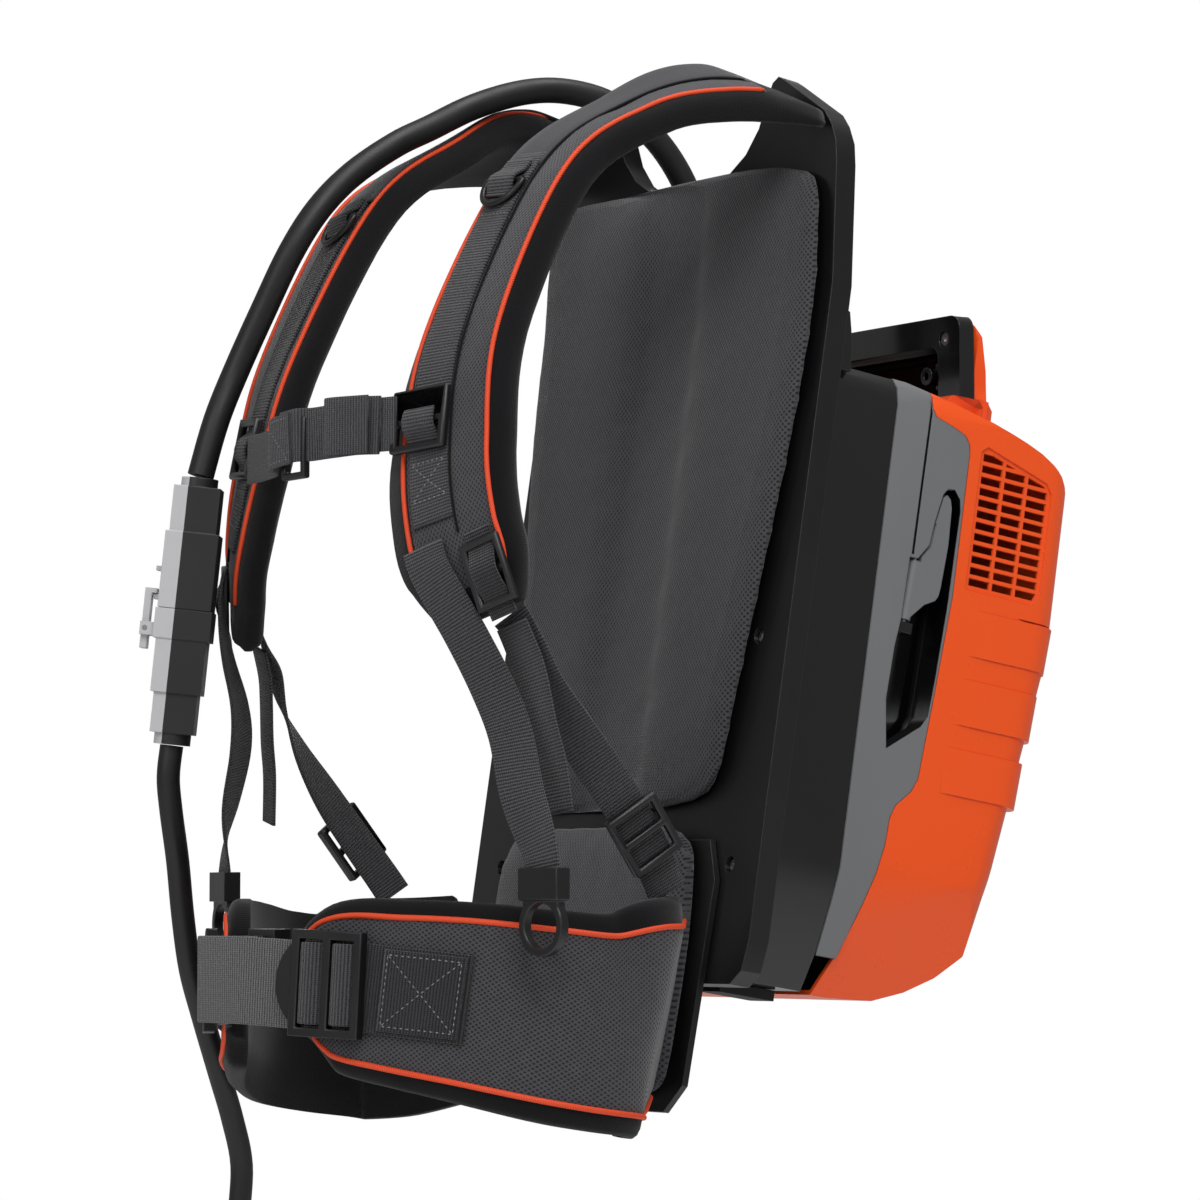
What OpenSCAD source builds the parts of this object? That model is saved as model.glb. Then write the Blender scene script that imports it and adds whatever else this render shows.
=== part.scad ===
// Backpack battery power unit on a padded harness: a leaning housing with a carry handle,
// release levers and louvred vents, worn on shoulder straps and a hip belt, and a lead with
// an in-line coupling over the wearer's right shoulder.
// Millimetres. The wearer faces -Y, the wearer's left is +X and +Z is up. The origin is on the
// centre line, on the face of the back pad that touches the wearer, level with the top edge of
// the hip belt.

/* [Pack] */
// Lean of the pack against the upright, as worn, in degrees
lean = 9; // [4:1:12]
// Width of the housing
pack_w = 300; // [280:5:330]
// Wall of the rear cover
shell_wall = 3; // [2:0.5:4]
// Seam between neighbouring housing parts
seam = 0.4; // [0.3:0.1:0.6]
// Plane where the front cover starts behind the plate
cover_front = 28; // [28:1:30]
// Seam line between the front cover and the side frames
column_front = 75; // [70:1:78]
// Depth of the side frames, in from the housing's side
frame_depth = 14; // [13:1:16]

/* [Back plate] */
// Width of the back plate
plate_w = 308; // [300:2:320]
// Depth of the plate's rim
plate_rim = 14; // [13:1:16]
// Skin of the plate
plate_skin = 5; // [4:0.5:6]
// Forward bend of the plate above the housing, in degrees
plate_bend = 6.5; // [0:0.5:8]

/* [Handle] */
// Width across the handle's posts
handle_w = 172; // [160:2:180]
// Width of a post
post_w = 22; // [18:1:26]
// Height of the grip bar
grip_h = 18; // [16:1:22]
// Depth of the black front shell of the handle
grip_front_t = 11; // [9:1:12]
// How far the handle leans forwards against the pack, in degrees
grip_tilt = 9; // [6:1:10]

/* [Vents] */
// Louvre rows in each side vent
louvre_rows = 12; // [8:1:12]
// Distance between louvre rows
louvre_pitch = 6.9; // [6.6:0.1:7]
// Height of a louvre slot
louvre_slot = 4.4; // [3:0.2:5]
// Rib between louvre columns
louvre_rib = 2.4; // [2:0.2:4]

/* [Bands] */
// Height of a raised band on the rear cover
band_h = 28; // [24:1:32]
// Distance from band to band
band_pitch = 42; // [38:1:44]
// How far each band sits in front of the one above it
band_out = 5; // [4:0.5:6]

/* [Release levers] */
// Radius of a lever's hinge barrel
barrel_r = 4; // [3.5:0.5:4.5]
// Radius of a lever's pin
lever_pin_r = 1.5; // [1:0.25:2]
// Running clearance round the pin
pin_clearance = 0.08; // [0.05:0.01:0.1]
// Thickness of the lever's plate
lever_t = 4; // [3:0.5:5]

/* [Cells] */
// Diameter of a cell
cell_d = 21; // [18:1:21]
// Length of a cell
cell_l = 70; // [65:1:70]
// Cells across
cell_columns = 10; // [4:1:10]
// Cells high
cell_rows = 5; // [3:1:5]
// Distance between cell centres
cell_pitch = 23; // [22:0.5:23]

/* [Harness] */
// Thickness of a shoulder pad
pad_t = 18; // [12:1:20]
// Thickness of a hip pad
hip_t = 14; // [10:1:18]
// Width of the webbing that runs on a shoulder pad
pad_webbing_w = 34; // [30:1:38]
// Width of the adjusting straps
strap_w = 25; // [20:1:25]
// Thickness of all webbing
webbing_t = 1.8; // [1.2:0.1:2.2]
// Width of the hip webbing
hip_webbing_w = 50; // [46:1:52]
// Gap between soft parts that lie on each other
soft_gap = 0.4; // [0.3:0.1:0.6]

/* [D-rings] */
// Width of the D-ring's opening
ring_w = 30; // [26:1:34]
// Radius of the D-ring's wire
ring_wire_r = 2; // [1.5:0.25:2.5]

/* [Lead] */
// Diameter of the lead from the pack to the coupling
power_cord_d = 16; // [14:0.5:17]
// Diameter of the lead from the coupling to the tool adapter
tool_cord_d = 14; // [12:0.5:15]

/* [Hidden] */

black = "#1d1e20";
gloss_black = "#101113";
grey = "#6d6f71";
orange = "#f4511e";
fabric = "#3f4042";
webbing_grey = "#48494b";
steel = "#9a9c9f";

half_w = pack_w / 2;
$fn = 48;

// ---------------------------------------------------------------- shared geometry

function unit(v) = v / norm(v);

// Catmull-Rom curve through a list of points, at parameter s from 0 to len-1
function on_curve(points, s) =
    let(
        last = len(points) - 1,
        i = min(floor(s), last - 1),
        t = s - i,
        a = points[max(i - 1, 0)],
        b = points[i],
        c = points[i + 1],
        d = points[min(i + 2, last)]
    )
    0.5 * (2 * b + (c - a) * t + (2 * a - 5 * b + 4 * c - d) * t * t + (3 * b - 3 * c + d - a) * t * t * t);

// Arc of points in a plane, both ends included
function arc(centre, r, from, to, steps = 6) =
    [for (i = [0 : steps]) let(a = from + (to - from) * i / steps) centre + r * [cos(a), sin(a)]];

// Closed outline moved inwards by d, for outlines that run anticlockwise
function inset(points, d) =
    [for (i = [0 : len(points) - 1])
        let(
            n = len(points),
            a = points[(i + n - 1) % n],
            b = points[i],
            c = points[(i + 1) % n],
            u = unit(b - a),
            v = unit(c - b),
            normal_u = [-u.y, u.x],
            normal_v = [-v.y, v.x]
        )
        b + d * (normal_u + normal_v) / (1 + normal_u * normal_v)];

// Closed skin over a list of rings, each a loop of as many points
module skin(rings) {
    n = len(rings[0]);
    m = len(rings);
    corners = [for (ring = rings) for (p = ring) p];
    sides = [for (i = [0 : m - 2]) for (j = [0 : n - 1]) let(k = (j + 1) % n)
        each [[i * n + j, (i + 1) * n + j, (i + 1) * n + k], [i * n + j, (i + 1) * n + k, i * n + k]]];
    first = [for (j = [1 : n - 2]) [0, j, j + 1]];
    last = [for (j = [1 : n - 2]) [(m - 1) * n, (m - 1) * n + j + 1, (m - 1) * n + j]];
    polyhedron(corners, concat(sides, first, last), convexity = 6);
}

// Flat strap swept along a path; across gives its width direction at each point
module ribbon(path, across, w, t) {
    last = len(path) - 1;
    skin([for (i = [0 : last])
        let(
            along = unit(path[min(i + 1, last)] - path[max(i - 1, 0)]),
            up = unit(cross(along, unit(across[i]))),
            side = cross(up, along)
        )
        [for (c = [[-1, -1], [1, -1], [1, 1], [-1, 1]])
            path[i] + side * c[0] * w / 2 + up * c[1] * t / 2]]);
}

// Round cord swept along a path, its rings turned as little as the path asks
module cord(path, d, sides) {
    last = len(path) - 1;
    tangents = [for (i = [0 : last]) unit(path[min(i + 1, last)] - path[max(i - 1, 0)])];
    skin([for (i = [0 : last])
        let(
            u = unit(cross(tangents[i], [1, 0.2, 0])),
            v = cross(tangents[i], u)
        )
        [for (k = [0 : sides - 1]) let(a = 360 * k / sides)
            path[i] + d / 2 * (cos(a) * u + sin(a) * v)]]);
}

// Places a child with its own axes on three given directions
module on_axes(origin, x, y, z) {
    multmatrix([
        [x.x, y.x, z.x, origin.x],
        [x.y, y.y, z.y, origin.y],
        [x.z, y.z, z.z, origin.z],
        [0, 0, 0, 1]
    ]) children();
}

module pack_frame() {
    rotate([-lean, 0, 0]) children();
}

// Shape given in the pack's side view (depth, height), spanning x from x0 to x1
module side_view(points, x0, x1) {
    translate([x0, 0, 0]) rotate([90, 0, 90]) linear_extrude(x1 - x0) polygon(points);
}

// Shape given in the pack's front view (x, height), spanning depth from y0 to y1
module front_view(points, y0, y1) {
    translate([0, y1, 0]) rotate([90, 0, 0]) linear_extrude(y1 - y0) polygon(points);
}

// Shape given in plan (x, depth), spanning heights from z0 to z1
module plan_view(points, z0, z1) {
    translate([0, 0, z0]) linear_extrude(z1 - z0) polygon(points);
}

function both_sides(half) =
    concat(half, [for (i = [len(half) - 1 : -1 : 0]) if (half[i].x > 0) [-half[i].x, half[i].y]]);

// ---------------------------------------------------------------- housing form

top_z = 331;
base_z = -36;
rear_y = 222;
crease_z = 36;
base_taper = 24;
// Height below which the rear of the housing slopes forwards, and its slope
slope_z = 206;
slope_angle = 9.5;

// Side view of the housing, anticlockwise from its lower front corner
housing_side = [
    [cover_front, base_z], [95, base_z], [130, -33], [150, -25], [167, -14], [182, 1], [192, 20],
    [197, 40], [205, 92], [rear_y, slope_z], [rear_y, 262], [rear_y - 2, 273], [rear_y - 6, 283],
    [rear_y - 13, 292], [rear_y - 19, 298], [196, 303], [186, 308], [174, 312], [148, 319],
    [101, 328], [85, top_z], [cover_front, top_z]
];

// Plan of the housing, with a crowned rear between rounded corners
corner_r = 20;
corner_y = 197;
function rear_plan(wide) = concat(
    [[half_w + wide, 0], [half_w + wide, corner_y - 2]],
    arc([half_w - corner_r, corner_y], corner_r + wide, 8, 82, 6),
    [[90, rear_y - 3 + wide], [0, rear_y + wide], [-90, rear_y - 3 + wide]],
    [for (p = arc([half_w - corner_r, corner_y], corner_r + wide, 82, 8, 6)) [-p.x, p.y]],
    [[-half_w - wide, corner_y - 2], [-half_w - wide, 0]]
);
housing_plan = rear_plan(0);

// Front view of the housing, tapering in below the crease
housing_front_half = [
    [half_w - base_taper, base_z], [half_w - 13, -12], [half_w - 4, crease_z - 16],
    [half_w, crease_z + 2], [half_w, top_z - 16], [half_w - 3, top_z - 6], [half_w - 9, top_z]
];

// Plan shape stood on the plane where the rear starts to slope, leaning with that slope
module sloping_plan(points, angle, down) {
    translate([0, 0, slope_z]) rotate([-angle, 0, 0]) translate([0, 0, -down])
        linear_extrude(down + 30) polygon(points);
}

module housing_form(d) {
    intersection() {
        side_view(inset(housing_side, d), -half_w, half_w);
        plan_view(inset(housing_plan, d), base_z, top_z);
        union() {
            sloping_plan(inset(housing_plan, d), slope_angle, 300);
            translate([-half_w, 0, slope_z]) cube([pack_w, rear_y, 200]);
        }
        front_view(inset(both_sides(housing_front_half), d), 0, rear_y + 5);
    }
}

// Line where the grey side frame meets the orange rear cover, from the top down
frame_border = [
    [101, 332], [101.5, 318], [104, 313.5], [116, 310.5], [127, 307], [131, 302], [132, 296], [132, 210],
    [127, 145], [123, 98],
    [119, 90], [109, 80], [106, 72], [105, 56], [95, 10], [84, base_z - 4]
];

// Hole in a side frame: the slot round the lever's tongue and the finger recess below it
frame_hole = [
    [97, 112], [120, 129], [124.5, 136], [126.5, 160], [129, 205], [129.5, 238], [130, 261],
    [128.6, 268], [124, 273], [119, 272.5], [116, 268.5], [112.3, 252], [110.2, 236.6], [103.2, 227.2],
    [97.2, 227.2], [96.2, 189], [94, 173], [92.5, 141]
];

module side_frame() {
    pack_frame() difference() {
        intersection() {
            housing_form(0);
            side_view(concat([[column_front, base_z + 2]],
                [for (i = [len(frame_border) - 1 : -1 : 0]) frame_border[i] - [seam, 0]],
                [[column_front, top_z + 1]]), half_w - frame_depth, half_w + 1);
        }
        side_view(frame_hole, half_w - frame_depth - 1, half_w + 2);
        column_gap();
        lever_axis() translate([0, 0, -7]) cylinder(r = lever_pin_r + pin_clearance, h = barrel_len + 14);
        lever_axis() translate([0, 0, -seam]) cylinder(r = barrel_r + seam, h = barrel_len + 2 * seam);
    }
}

// Groove between the front column and the upper panel of a side frame
column_gap_w = 1.6;
column_gap_depth = 2.5;
module column_gap() {
    side_view([[98.2, 229], [98.2 + column_gap_w, 229], [99.4 + column_gap_w, top_z + 2], [99.4, top_z + 2]],
        half_w - column_gap_depth, half_w + 1);
}

module side_frame_left() {
    color(grey) side_frame();
}

module side_frame_right() {
    color(grey) mirror([1, 0, 0]) side_frame();
}

// ---------------------------------------------------------------- release levers

// Foot of the hinge axis in the pack's frame, and the axis's tilt towards the rear
lever_foot = [half_w - 0.6 - barrel_r, 97.2 + barrel_r, 189];
lever_tilt = 4;
barrel_len = 38;

// Outline of the lever in its own frame: depth from the axis, height from its foot
lever_outline = [
    [0, 0.8], [10, 12.5], [17.5, 17], [19.3, 20.5], [19.8, 26], [19.8, 52], [17.5, 74],
    [15.6, 79], [12.6, 81], [10.2, 78.5], [7.9, 63], [6.2, 47.3], [2.4, 41.3],
    [2.4, barrel_len - 1.1], [0, barrel_len - 1.1]
];
// Angle that a lever swings out through
lever_swing = 20;

module lever_axis() {
    translate(lever_foot) rotate([-lever_tilt, 0, 0]) children();
}

module release_lever() {
    pack_frame() lever_axis() difference() {
        union() {
            translate([barrel_r - lever_t, 0, 0]) rotate([90, 0, 90]) linear_extrude(lever_t)
                polygon(lever_outline);
            translate([0, 0, 1]) cylinder(r = barrel_r, h = barrel_len - 2);
            // lip that the fingers pull on
            translate([barrel_r - 9, 12, 20]) cube([9 - lever_t + 1, 6, 34]);
        }
        translate([0, 0, -1]) cylinder(r = lever_pin_r + pin_clearance, h = barrel_len + 2);
        // front edge above the barrel, bevelled so that it clears the frame as the lever swings out
        rotate([0, 0, lever_swing]) rotate([90, 0, 90]) translate([0, 0, -0.5]) linear_extrude(12)
            polygon([[-6, 37.3], [-6, 62], [6.9, 62], [6.1, 48.1], [-0.2, 38], [-0.2, 37.3]]);
    }
}

module release_lever_left() {
    color(grey) release_lever();
}

module release_lever_right() {
    color(grey) mirror([1, 0, 0]) release_lever();
}

module lever_pins() {
    color(steel) for (side = [0, 1]) mirror([side, 0, 0]) pack_frame() lever_axis()
        translate([0, 0, -6.5]) cylinder(r = lever_pin_r, h = barrel_len + 13);
}

// Black tray behind the frame's hole, the bottom of the finger recess, with the lug that holds the
// lower end of the lever's pin
tray_t = 2.5;
tray_depth = 8;
module recess_tray() {
    back_x = half_w - frame_depth - tray_depth - tray_t;
    pack_frame() difference() {
        union() {
            difference() {
                side_view([[88, 106], [125, 120], [131, 136], [134, 205], [135, 278], [112, 280], [92, 236],
                    [88, 180]], back_x, half_w - frame_depth - 0.3);
                side_view([[91, 110.5], [122.6, 123], [128, 137], [131, 205], [132, 275], [113.7, 276.5],
                    [95, 234], [91, 179]], back_x + tray_t, half_w);
            }
            lever_axis() translate([-18.5, -4.2, -7]) cube([22, 9, 6.4]);
        }
        lever_axis() translate([0, 0, -8]) cylinder(r = lever_pin_r + pin_clearance, h = 9);
    }
}

module recess_tray_left() {
    color(gloss_black) recess_tray();
}

module recess_tray_right() {
    color(gloss_black) mirror([1, 0, 0]) recess_tray();
}

// ---------------------------------------------------------------- front and rear covers

// Black inner cover: the front wall behind the plate, its sides and the deck in front of the handle
deck_rear = 100.6;
deck_under = 316;
module front_cover() {
    color(gloss_black) pack_frame() difference() {
        intersection() {
            housing_form(0.6);
            union() {
                side_view([[0, base_z], [column_front - seam, base_z], [column_front - seam, top_z],
                    [0, top_z]], -half_w, half_w);
                side_view([[column_front - 2, deck_under - 6], [deck_rear, deck_under - 6],
                    [deck_rear, top_z], [column_front - 2, top_z]],
                    seam + frame_depth - half_w, half_w - frame_depth - seam);
            }
        }
        // hollow for the cells, left solid at the screws
        housing_hollow();
        plate_screws_at() cylinder(r = 2.1, h = 23);
    }
    // upstand that the plate leans on above the housing
    color(gloss_black) pack_frame() side_view([[cover_front + 0.6, 326], [38, 326], [37.3, 335], [35, 350],
        [32.3, 361], [cover_front + 0.6, 362]], -half_w, half_w);
    // pillars for the board
    color(gloss_black) pack_frame() board_standoffs();
}

module housing_hollow() {
    difference() {
        intersection() {
            housing_form(0.6 + shell_wall);
            side_view([[cover_front + shell_wall, base_z], [120, base_z], [120, deck_under],
                [cover_front + shell_wall, deck_under]], shell_wall - half_w, half_w - shell_wall);
        }
        plate_screws_at() cylinder(r = 6, h = 22);
    }
}

// Three bands round the rear, each nearly upright where the housing slopes away beneath it.
// They fade into the sides towards the front.
band_top_z = 205;
band_lean = 4.5;
band_side = 0.8;
band_plan = concat(
    [[half_w - 8, 146], [half_w, 150], [half_w + band_side, 163]],
    [for (i = [1 : len(rear_plan(band_side)) - 2]) rear_plan(band_side)[i]],
    [[-half_w - band_side, 163], [-half_w, 150], [8 - half_w, 146]]
);

module bands() {
    for (i = [0 : 2]) {
        z = band_top_z - i * band_pitch;
        intersection() {
            translate([0, -i * band_out, z - slope_z]) sloping_plan(band_plan, band_lean, 60);
            translate([-half_w - 5, 140, z - band_h]) cube([pack_w + 10, 100, band_h]);
        }
    }
}

// Side vent: rows and columns of slots, cut off along the slope of the cover's top
vent_front = 142;
vent_rear = 195;
vent_low = 219;
vent_columns = [0, 17.7, 35.4, 53];
module vent_slots() {
    intersection() {
        for (row = [0 : louvre_rows - 1]) for (c = [0 : 2])
            translate([half_w - 30, vent_front + vent_columns[c] + louvre_rib / 2,
                vent_low + row * louvre_pitch])
                cube([40, vent_columns[c + 1] - vent_columns[c] - louvre_rib, louvre_slot]);
        side_view([[vent_front, vent_low - 5], [vent_rear - 5, vent_low - 5], [vent_rear, vent_low + 6],
            [vent_rear, 284], [191, 289], [vent_front, 301.5]], 0, half_w + 10);
    }
}

// Shallow recess that frames a side vent
module vent_recess() {
    side_view([[vent_front - 1.5, vent_low - 3], [vent_rear - 4, vent_low - 3],
        [vent_rear + 1.5, vent_low + 5], [vent_rear + 1.5, 285],
        [192, 291], [vent_front + 3, 303.5], [vent_front - 1.5, 300]],
        half_w - 1.2, half_w + 10);
}

// Top of the grip bar, the opening for the hand under it, and the foot of the handle's posts
grip_top = 396;
hand_opening_top = grip_top - grip_h;
grip_foot = 346;

// Frame of the handle's front shell: its origin is on the bar's top front edge
grip_front = 158.5;
module grip_frame() {
    translate([0, grip_front, grip_top]) rotate([grip_tilt, 0, 0]) children();
}

// Orange hood that rises behind the grip bar and closes the hand pocket at the rear
hood_side = [
    [160, 300], [213, 300], [210, 338], [205, 350], [198, 374], [190, 385], [180, 393], [160, grip_top]
];
hood_plan_half = [[0, 212], [46, 209], [68, 202], [85, 193], [91, 180], [92, 160]];
hood_front_half = [[98, 300], [92, 338], [87, 347], [86, 355], [86, 385], [83, 392], [76, grip_top]];
// Outline of the hood seen over its corners, at this angle from straight behind
hood_corner_angle = 33;
hood_corner = [
    [100, 290], [216, 290], [216, 300], [209, 341], [203.5, 347], [201, 365], [196, 386], [189, 394],
    [184, grip_top], [100, grip_top]
];

module hood_form(d) {
    intersection() {
        side_view(inset(hood_side, d), -handle_w / 2 - 10, handle_w / 2 + 10);
        plan_view(inset(concat([for (i = [5 : -1 : 0]) hood_plan_half[i]],
            [for (i = [1 : 5]) [-hood_plan_half[i].x, hood_plan_half[i].y]]), d), 290, 400);
        front_view(inset(both_sides(hood_front_half), d), 100, 300);
        rotate([0, 0, -hood_corner_angle]) side_view(inset(hood_corner, d), -300, 300);
        rotate([0, 0, hood_corner_angle]) side_view(inset(hood_corner, d), -300, 300);
    }
}

// Hollow behind the grip bar, open to the front, with its floor just under the cover's top
hollow_floor = 318;
hollow_bar = 178;
module hand_hollow(d, front) {
    side_view([[front, hollow_floor + d], [204 - d, hollow_floor + d], [203 - d, 340], [200 - d, 356],
        [194 - d, 372], [190 - d, 380 - d], [hollow_bar + 9 - d, 386 - d], [hollow_bar + d, 386 - d],
        [hollow_bar + d, hand_opening_top - d], [front, hand_opening_top - d]],
        post_w + d - handle_w / 2, handle_w / 2 - post_w - d);
}

module rear_cover() {
    color(orange) pack_frame() difference() {
        union() {
            intersection() {
                housing_form(0);
                side_view(concat(frame_border, [[rear_y + 10, base_z - 4], [rear_y + 10, 332]]),
                    -half_w, half_w);
            }
            hood_form(0);
            bands();
            // seat under the handle's posts
            side_view([[146, 300], [186, 300], [186, grip_foot - seam + 0.1], [162, grip_foot - seam + 0.1],
                [155, grip_foot - 6], [150, grip_foot - 18], [146, grip_foot - 30]],
                -handle_w / 2 - 4, handle_w / 2 + 4);
        }
        intersection() {
            housing_form(shell_wall);
            side_view([[60, base_z], [rear_y, base_z], [rear_y, 312], [60, 312]], -half_w, half_w);
        }
        hand_hollow(0, 90);
        for (side = [0, 1]) mirror([side, 0, 0]) {
            vent_slots();
            vent_recess();
        }
        // the grip's front shell stands in here
        intersection() {
            grip_frame() translate([-handle_w, -40, -100])
                cube([2 * handle_w, 40 + grip_front_t + seam, 130]);
            translate([-handle_w, 100, grip_foot - seam]) cube([2 * handle_w, 100, 100]);
        }
        handle_screws_at() cylinder(r = 1.8, h = 22);
    }
}

// Black liner of the hand pocket
liner_t = 3;
module hand_pocket() {
    color(gloss_black) pack_frame() difference() {
        hand_hollow(seam, deck_rear + seam);
        hand_hollow(seam + liner_t, 80);
        translate([-handle_w, 80, hollow_floor + seam + liner_t + 0.02])
            cube([2 * handle_w, hollow_bar - 80.5, 100]);
    }
}

// Black front shell of the handle: grip bar, two posts and a boss on the inside of each post
boss_r = 5.5;
boss_z = 36;

// Places of the two screws in the handle's posts; z runs along a screw
module handle_screws_at() {
    for (side = [-1, 1]) grip_frame() translate([side * (handle_w / 2 - post_w + 6), 0, -14])
        rotate([-90, 0, 0]) children();
}

module handle_grip() {
    inner_x = handle_w / 2 - post_w;
    outer_x = handle_w / 2;
    foot = grip_foot - grip_top - 4;
    color(gloss_black) pack_frame() difference() {
        grip_frame() union() {
            front_view(concat(
                [[inner_x, foot], [outer_x, foot]],
                arc([outer_x - 9, -9], 9, 0, 90),
                [for (p = arc([outer_x - 9, -9], 9, 90, 0)) [-p.x, p.y]],
                [[-outer_x, foot], [-inner_x, foot]],
                [for (p = arc([inner_x - 7, -grip_h - 7], 7, 0, 90)) [-p.x, p.y]],
                arc([inner_x - 7, -grip_h - 7], 7, 90, 0)),
                0, grip_front_t);
            for (side = [-1, 1]) translate([side * (inner_x - 8), -3, -boss_z]) rotate([-90, 0, 0])
                cylinder(r = boss_r, h = grip_front_t);
            for (side = [-1, 1]) translate([side * (inner_x - 6), 3, -boss_z])
                translate([side > 0 ? 0 : -8, 0, -8]) cube([8, grip_front_t - 4, 16]);
        }
        translate([-handle_w, 100, grip_foot - 40]) cube([2 * handle_w, 100, 40]);
        handle_screws_at() {
            translate([0, 0, -1]) cylinder(r = 4.6, h = 4);
            cylinder(r = 2, h = 30);
        }
        grip_frame() for (side = [-1, 1]) translate([side * (inner_x - 8), -4, -boss_z]) rotate([-90, 0, 0])
            cylinder(r = 2.6, h = 5);
    }
}

// Screw along z with its head on the plane z = 0, shank towards +z
module screw(head_r, head_h, shank_r, shank_l) {
    translate([0, 0, -head_h]) difference() {
        cylinder(r = head_r, h = head_h);
        translate([0, 0, -1]) cylinder(r = head_r * 0.45, h = 2.2);
    }
    cylinder(r = shank_r, h = shank_l);
}

// Two screws in the handle's posts and six through the plate into the front cover
module housing_screws() {
    color(steel) pack_frame() {
        handle_screws_at() translate([0, 0, 2.9]) screw(4, 2, 1.7, 16);
        plate_screws_at() translate([0, 0, 5.9]) screw(4, 3, 2, 15);
    }
}

// ---------------------------------------------------------------- back plate and pads

plate_bend_z = 375;
plate_top = 505;
plate_half = [
    [plate_w / 2 - 14, -40], [plate_w / 2 - 4, -32], [plate_w / 2, -14], [plate_w / 2, 446],
    [plate_w / 2 - 1.5, 459], [plate_w / 2 - 7, 470], [plate_w / 2 - 14, 478], [98, 502],
    [92, plate_top], [86, 502], [81, 493], [73, 476], [60, 462], [44, 453], [0, 449]
];
function plate_outline() = concat(plate_half,
    [for (i = [len(plate_half) - 2 : -1 : 0]) [-plate_half[i].x, plate_half[i].y]]);

// How far the plate has bent forwards at height z in the pack's frame
function plate_forward(z) = z > plate_bend_z ? (z - plate_bend_z) * tan(plate_bend) : 0;

module plate_band(front, rear) {
    side_view([[front, -60], [rear, -60], [rear, plate_bend_z], [rear - plate_forward(520), 520],
        [front - plate_forward(520), 520], [front, plate_bend_z]], -plate_w, plate_w);
}

plate_rear = cover_front + 0.3;
plate_front = plate_rear - plate_rim;
rib_t = 3;

// Places of the six screws that hold the plate to the front cover; z runs along a screw
module plate_screws_at() {
    for (x = [-125, 125]) for (z = [30, 165, 300]) translate([x, plate_front, z]) rotate([-90, 0, 0])
        children();
}

module back_plate() {
    color(black) pack_frame() difference() {
        intersection() {
            front_view(plate_outline(), -60, 60);
            plate_band(plate_front, plate_rear);
        }
        plate_screws_at() {
            cylinder(r = 4.6, h = 12, center = true);
            cylinder(r = 2.2, h = 40);
        }
        difference() {
            intersection() {
                front_view(inset(plate_outline(), 4), -60, 60);
                plate_band(plate_front + plate_skin, cover_front + 40);
            }
            for (x = [-100, -50, 0, 50, 100]) translate([x - rib_t / 2, -30, -40])
                cube([rib_t, 27 + cover_front, 540]);
            for (z = [20, 120, 220, 320, 375, 425]) translate([-plate_w / 2, -30, z])
                cube([plate_w, 26 + cover_front, rib_t]);
            plate_screws_at() cylinder(r = 8, h = 40);
        }
    }
}

// Padded panel between the plate and the wearer's back, with a channel down its middle
back_pad_t = 14;
back_pad_widths = [104, 112, 118, 124, 130, 136, 141, 144, 145, 145, 141];
module back_pad() {
    color(black) pack_frame() skin([for (i = [0 : 10])
        let(z = 62 + 39 * i, w = back_pad_widths[i], t = i == 0 || i == 10 ? 8 : back_pad_t,
            base = plate_front - soft_gap - plate_forward(z))
        [for (c = [[-w, 0], [-w - 2, 0.5], [-w + 8, 1], [-40, 1], [-26, 0.35], [26, 0.35], [40, 1],
            [w - 8, 1], [w + 2, 0.5], [w, 0]]) [c[0], base - c[1] * t, z]]]);
}

lumbar_plate_t = 4;
module lumbar_plate() {
    color(black) pack_frame() front_view(both_sides([[96, -116], [112, -100], [118, 20], [108, 44]]),
        plate_front - soft_gap - lumbar_plate_t, plate_front - soft_gap);
}

lumbar_pad_t = 20;
module lumbar_pad() {
    front = plate_front - 2 * soft_gap - lumbar_plate_t;
    color(black) pack_frame() skin([for (i = [8 : -1 : 0])
        let(x = -104 + 26 * i, edge = i == 0 || i == 8, h = edge ? 72 : 82, t = edge ? 12 : lumbar_pad_t)
        [for (c = [[-1, 0], [-1, 0.55], [-0.75, 1], [0.75, 1], [1, 0.55], [1, 0]])
            [x, front - c[1] * t, -30 + c[0] * h]]]);
}

foot_z = base_z - 6;
module base_feet() {
    color("#151515") pack_frame() for (side = [-1, 1]) translate([side * 92 - 12, 33, foot_z])
        cube([24, 39, 6 + 0.6 - 0.3]);
}

// ---------------------------------------------------------------- inside the housing

cell_y = 38;
module cell_grid() {
    for (i = [0 : cell_columns - 1]) for (j = [0 : cell_rows - 1])
        translate([(i - (cell_columns - 1) / 2) * cell_pitch, cell_y, 4 + cell_pitch / 2 + j * cell_pitch])
            rotate([-90, 0, 0]) children();
}

module cells() {
    color("#3f7d5a") pack_frame() cell_grid() cylinder(d = cell_d, h = cell_l);
}

// Two tall plates that take the ends of the cells and stand on the housing's floor
holder_foot = -31.4;
module cell_holders() {
    w = cell_columns * cell_pitch + 6;
    h = 4 + cell_rows * cell_pitch + 3 - holder_foot;
    front = cover_front + 0.6 + shell_wall + 0.3;
    color("#202326") pack_frame() difference() {
        union() {
            translate([-w / 2, front, holder_foot]) cube([w, 10, h]);
            translate([-w / 2, cell_y + cell_l - 6, holder_foot]) cube([w, 10, h]);
        }
        cell_grid() translate([0, 0, -0.2]) cylinder(d = cell_d + 0.4, h = cell_l + 0.4);
        plate_screws_at() cylinder(r = 6.3, h = 23);
    }
}

board_y = 112;
module board_standoffs() {
    start = cover_front + 0.6 + shell_wall - 1;
    for (x = [-98, 98]) for (z = [148, 286]) translate([x, start, z]) rotate([-90, 0, 0])
        cylinder(r = 5, h = board_y - 0.3 - start);
}

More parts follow.
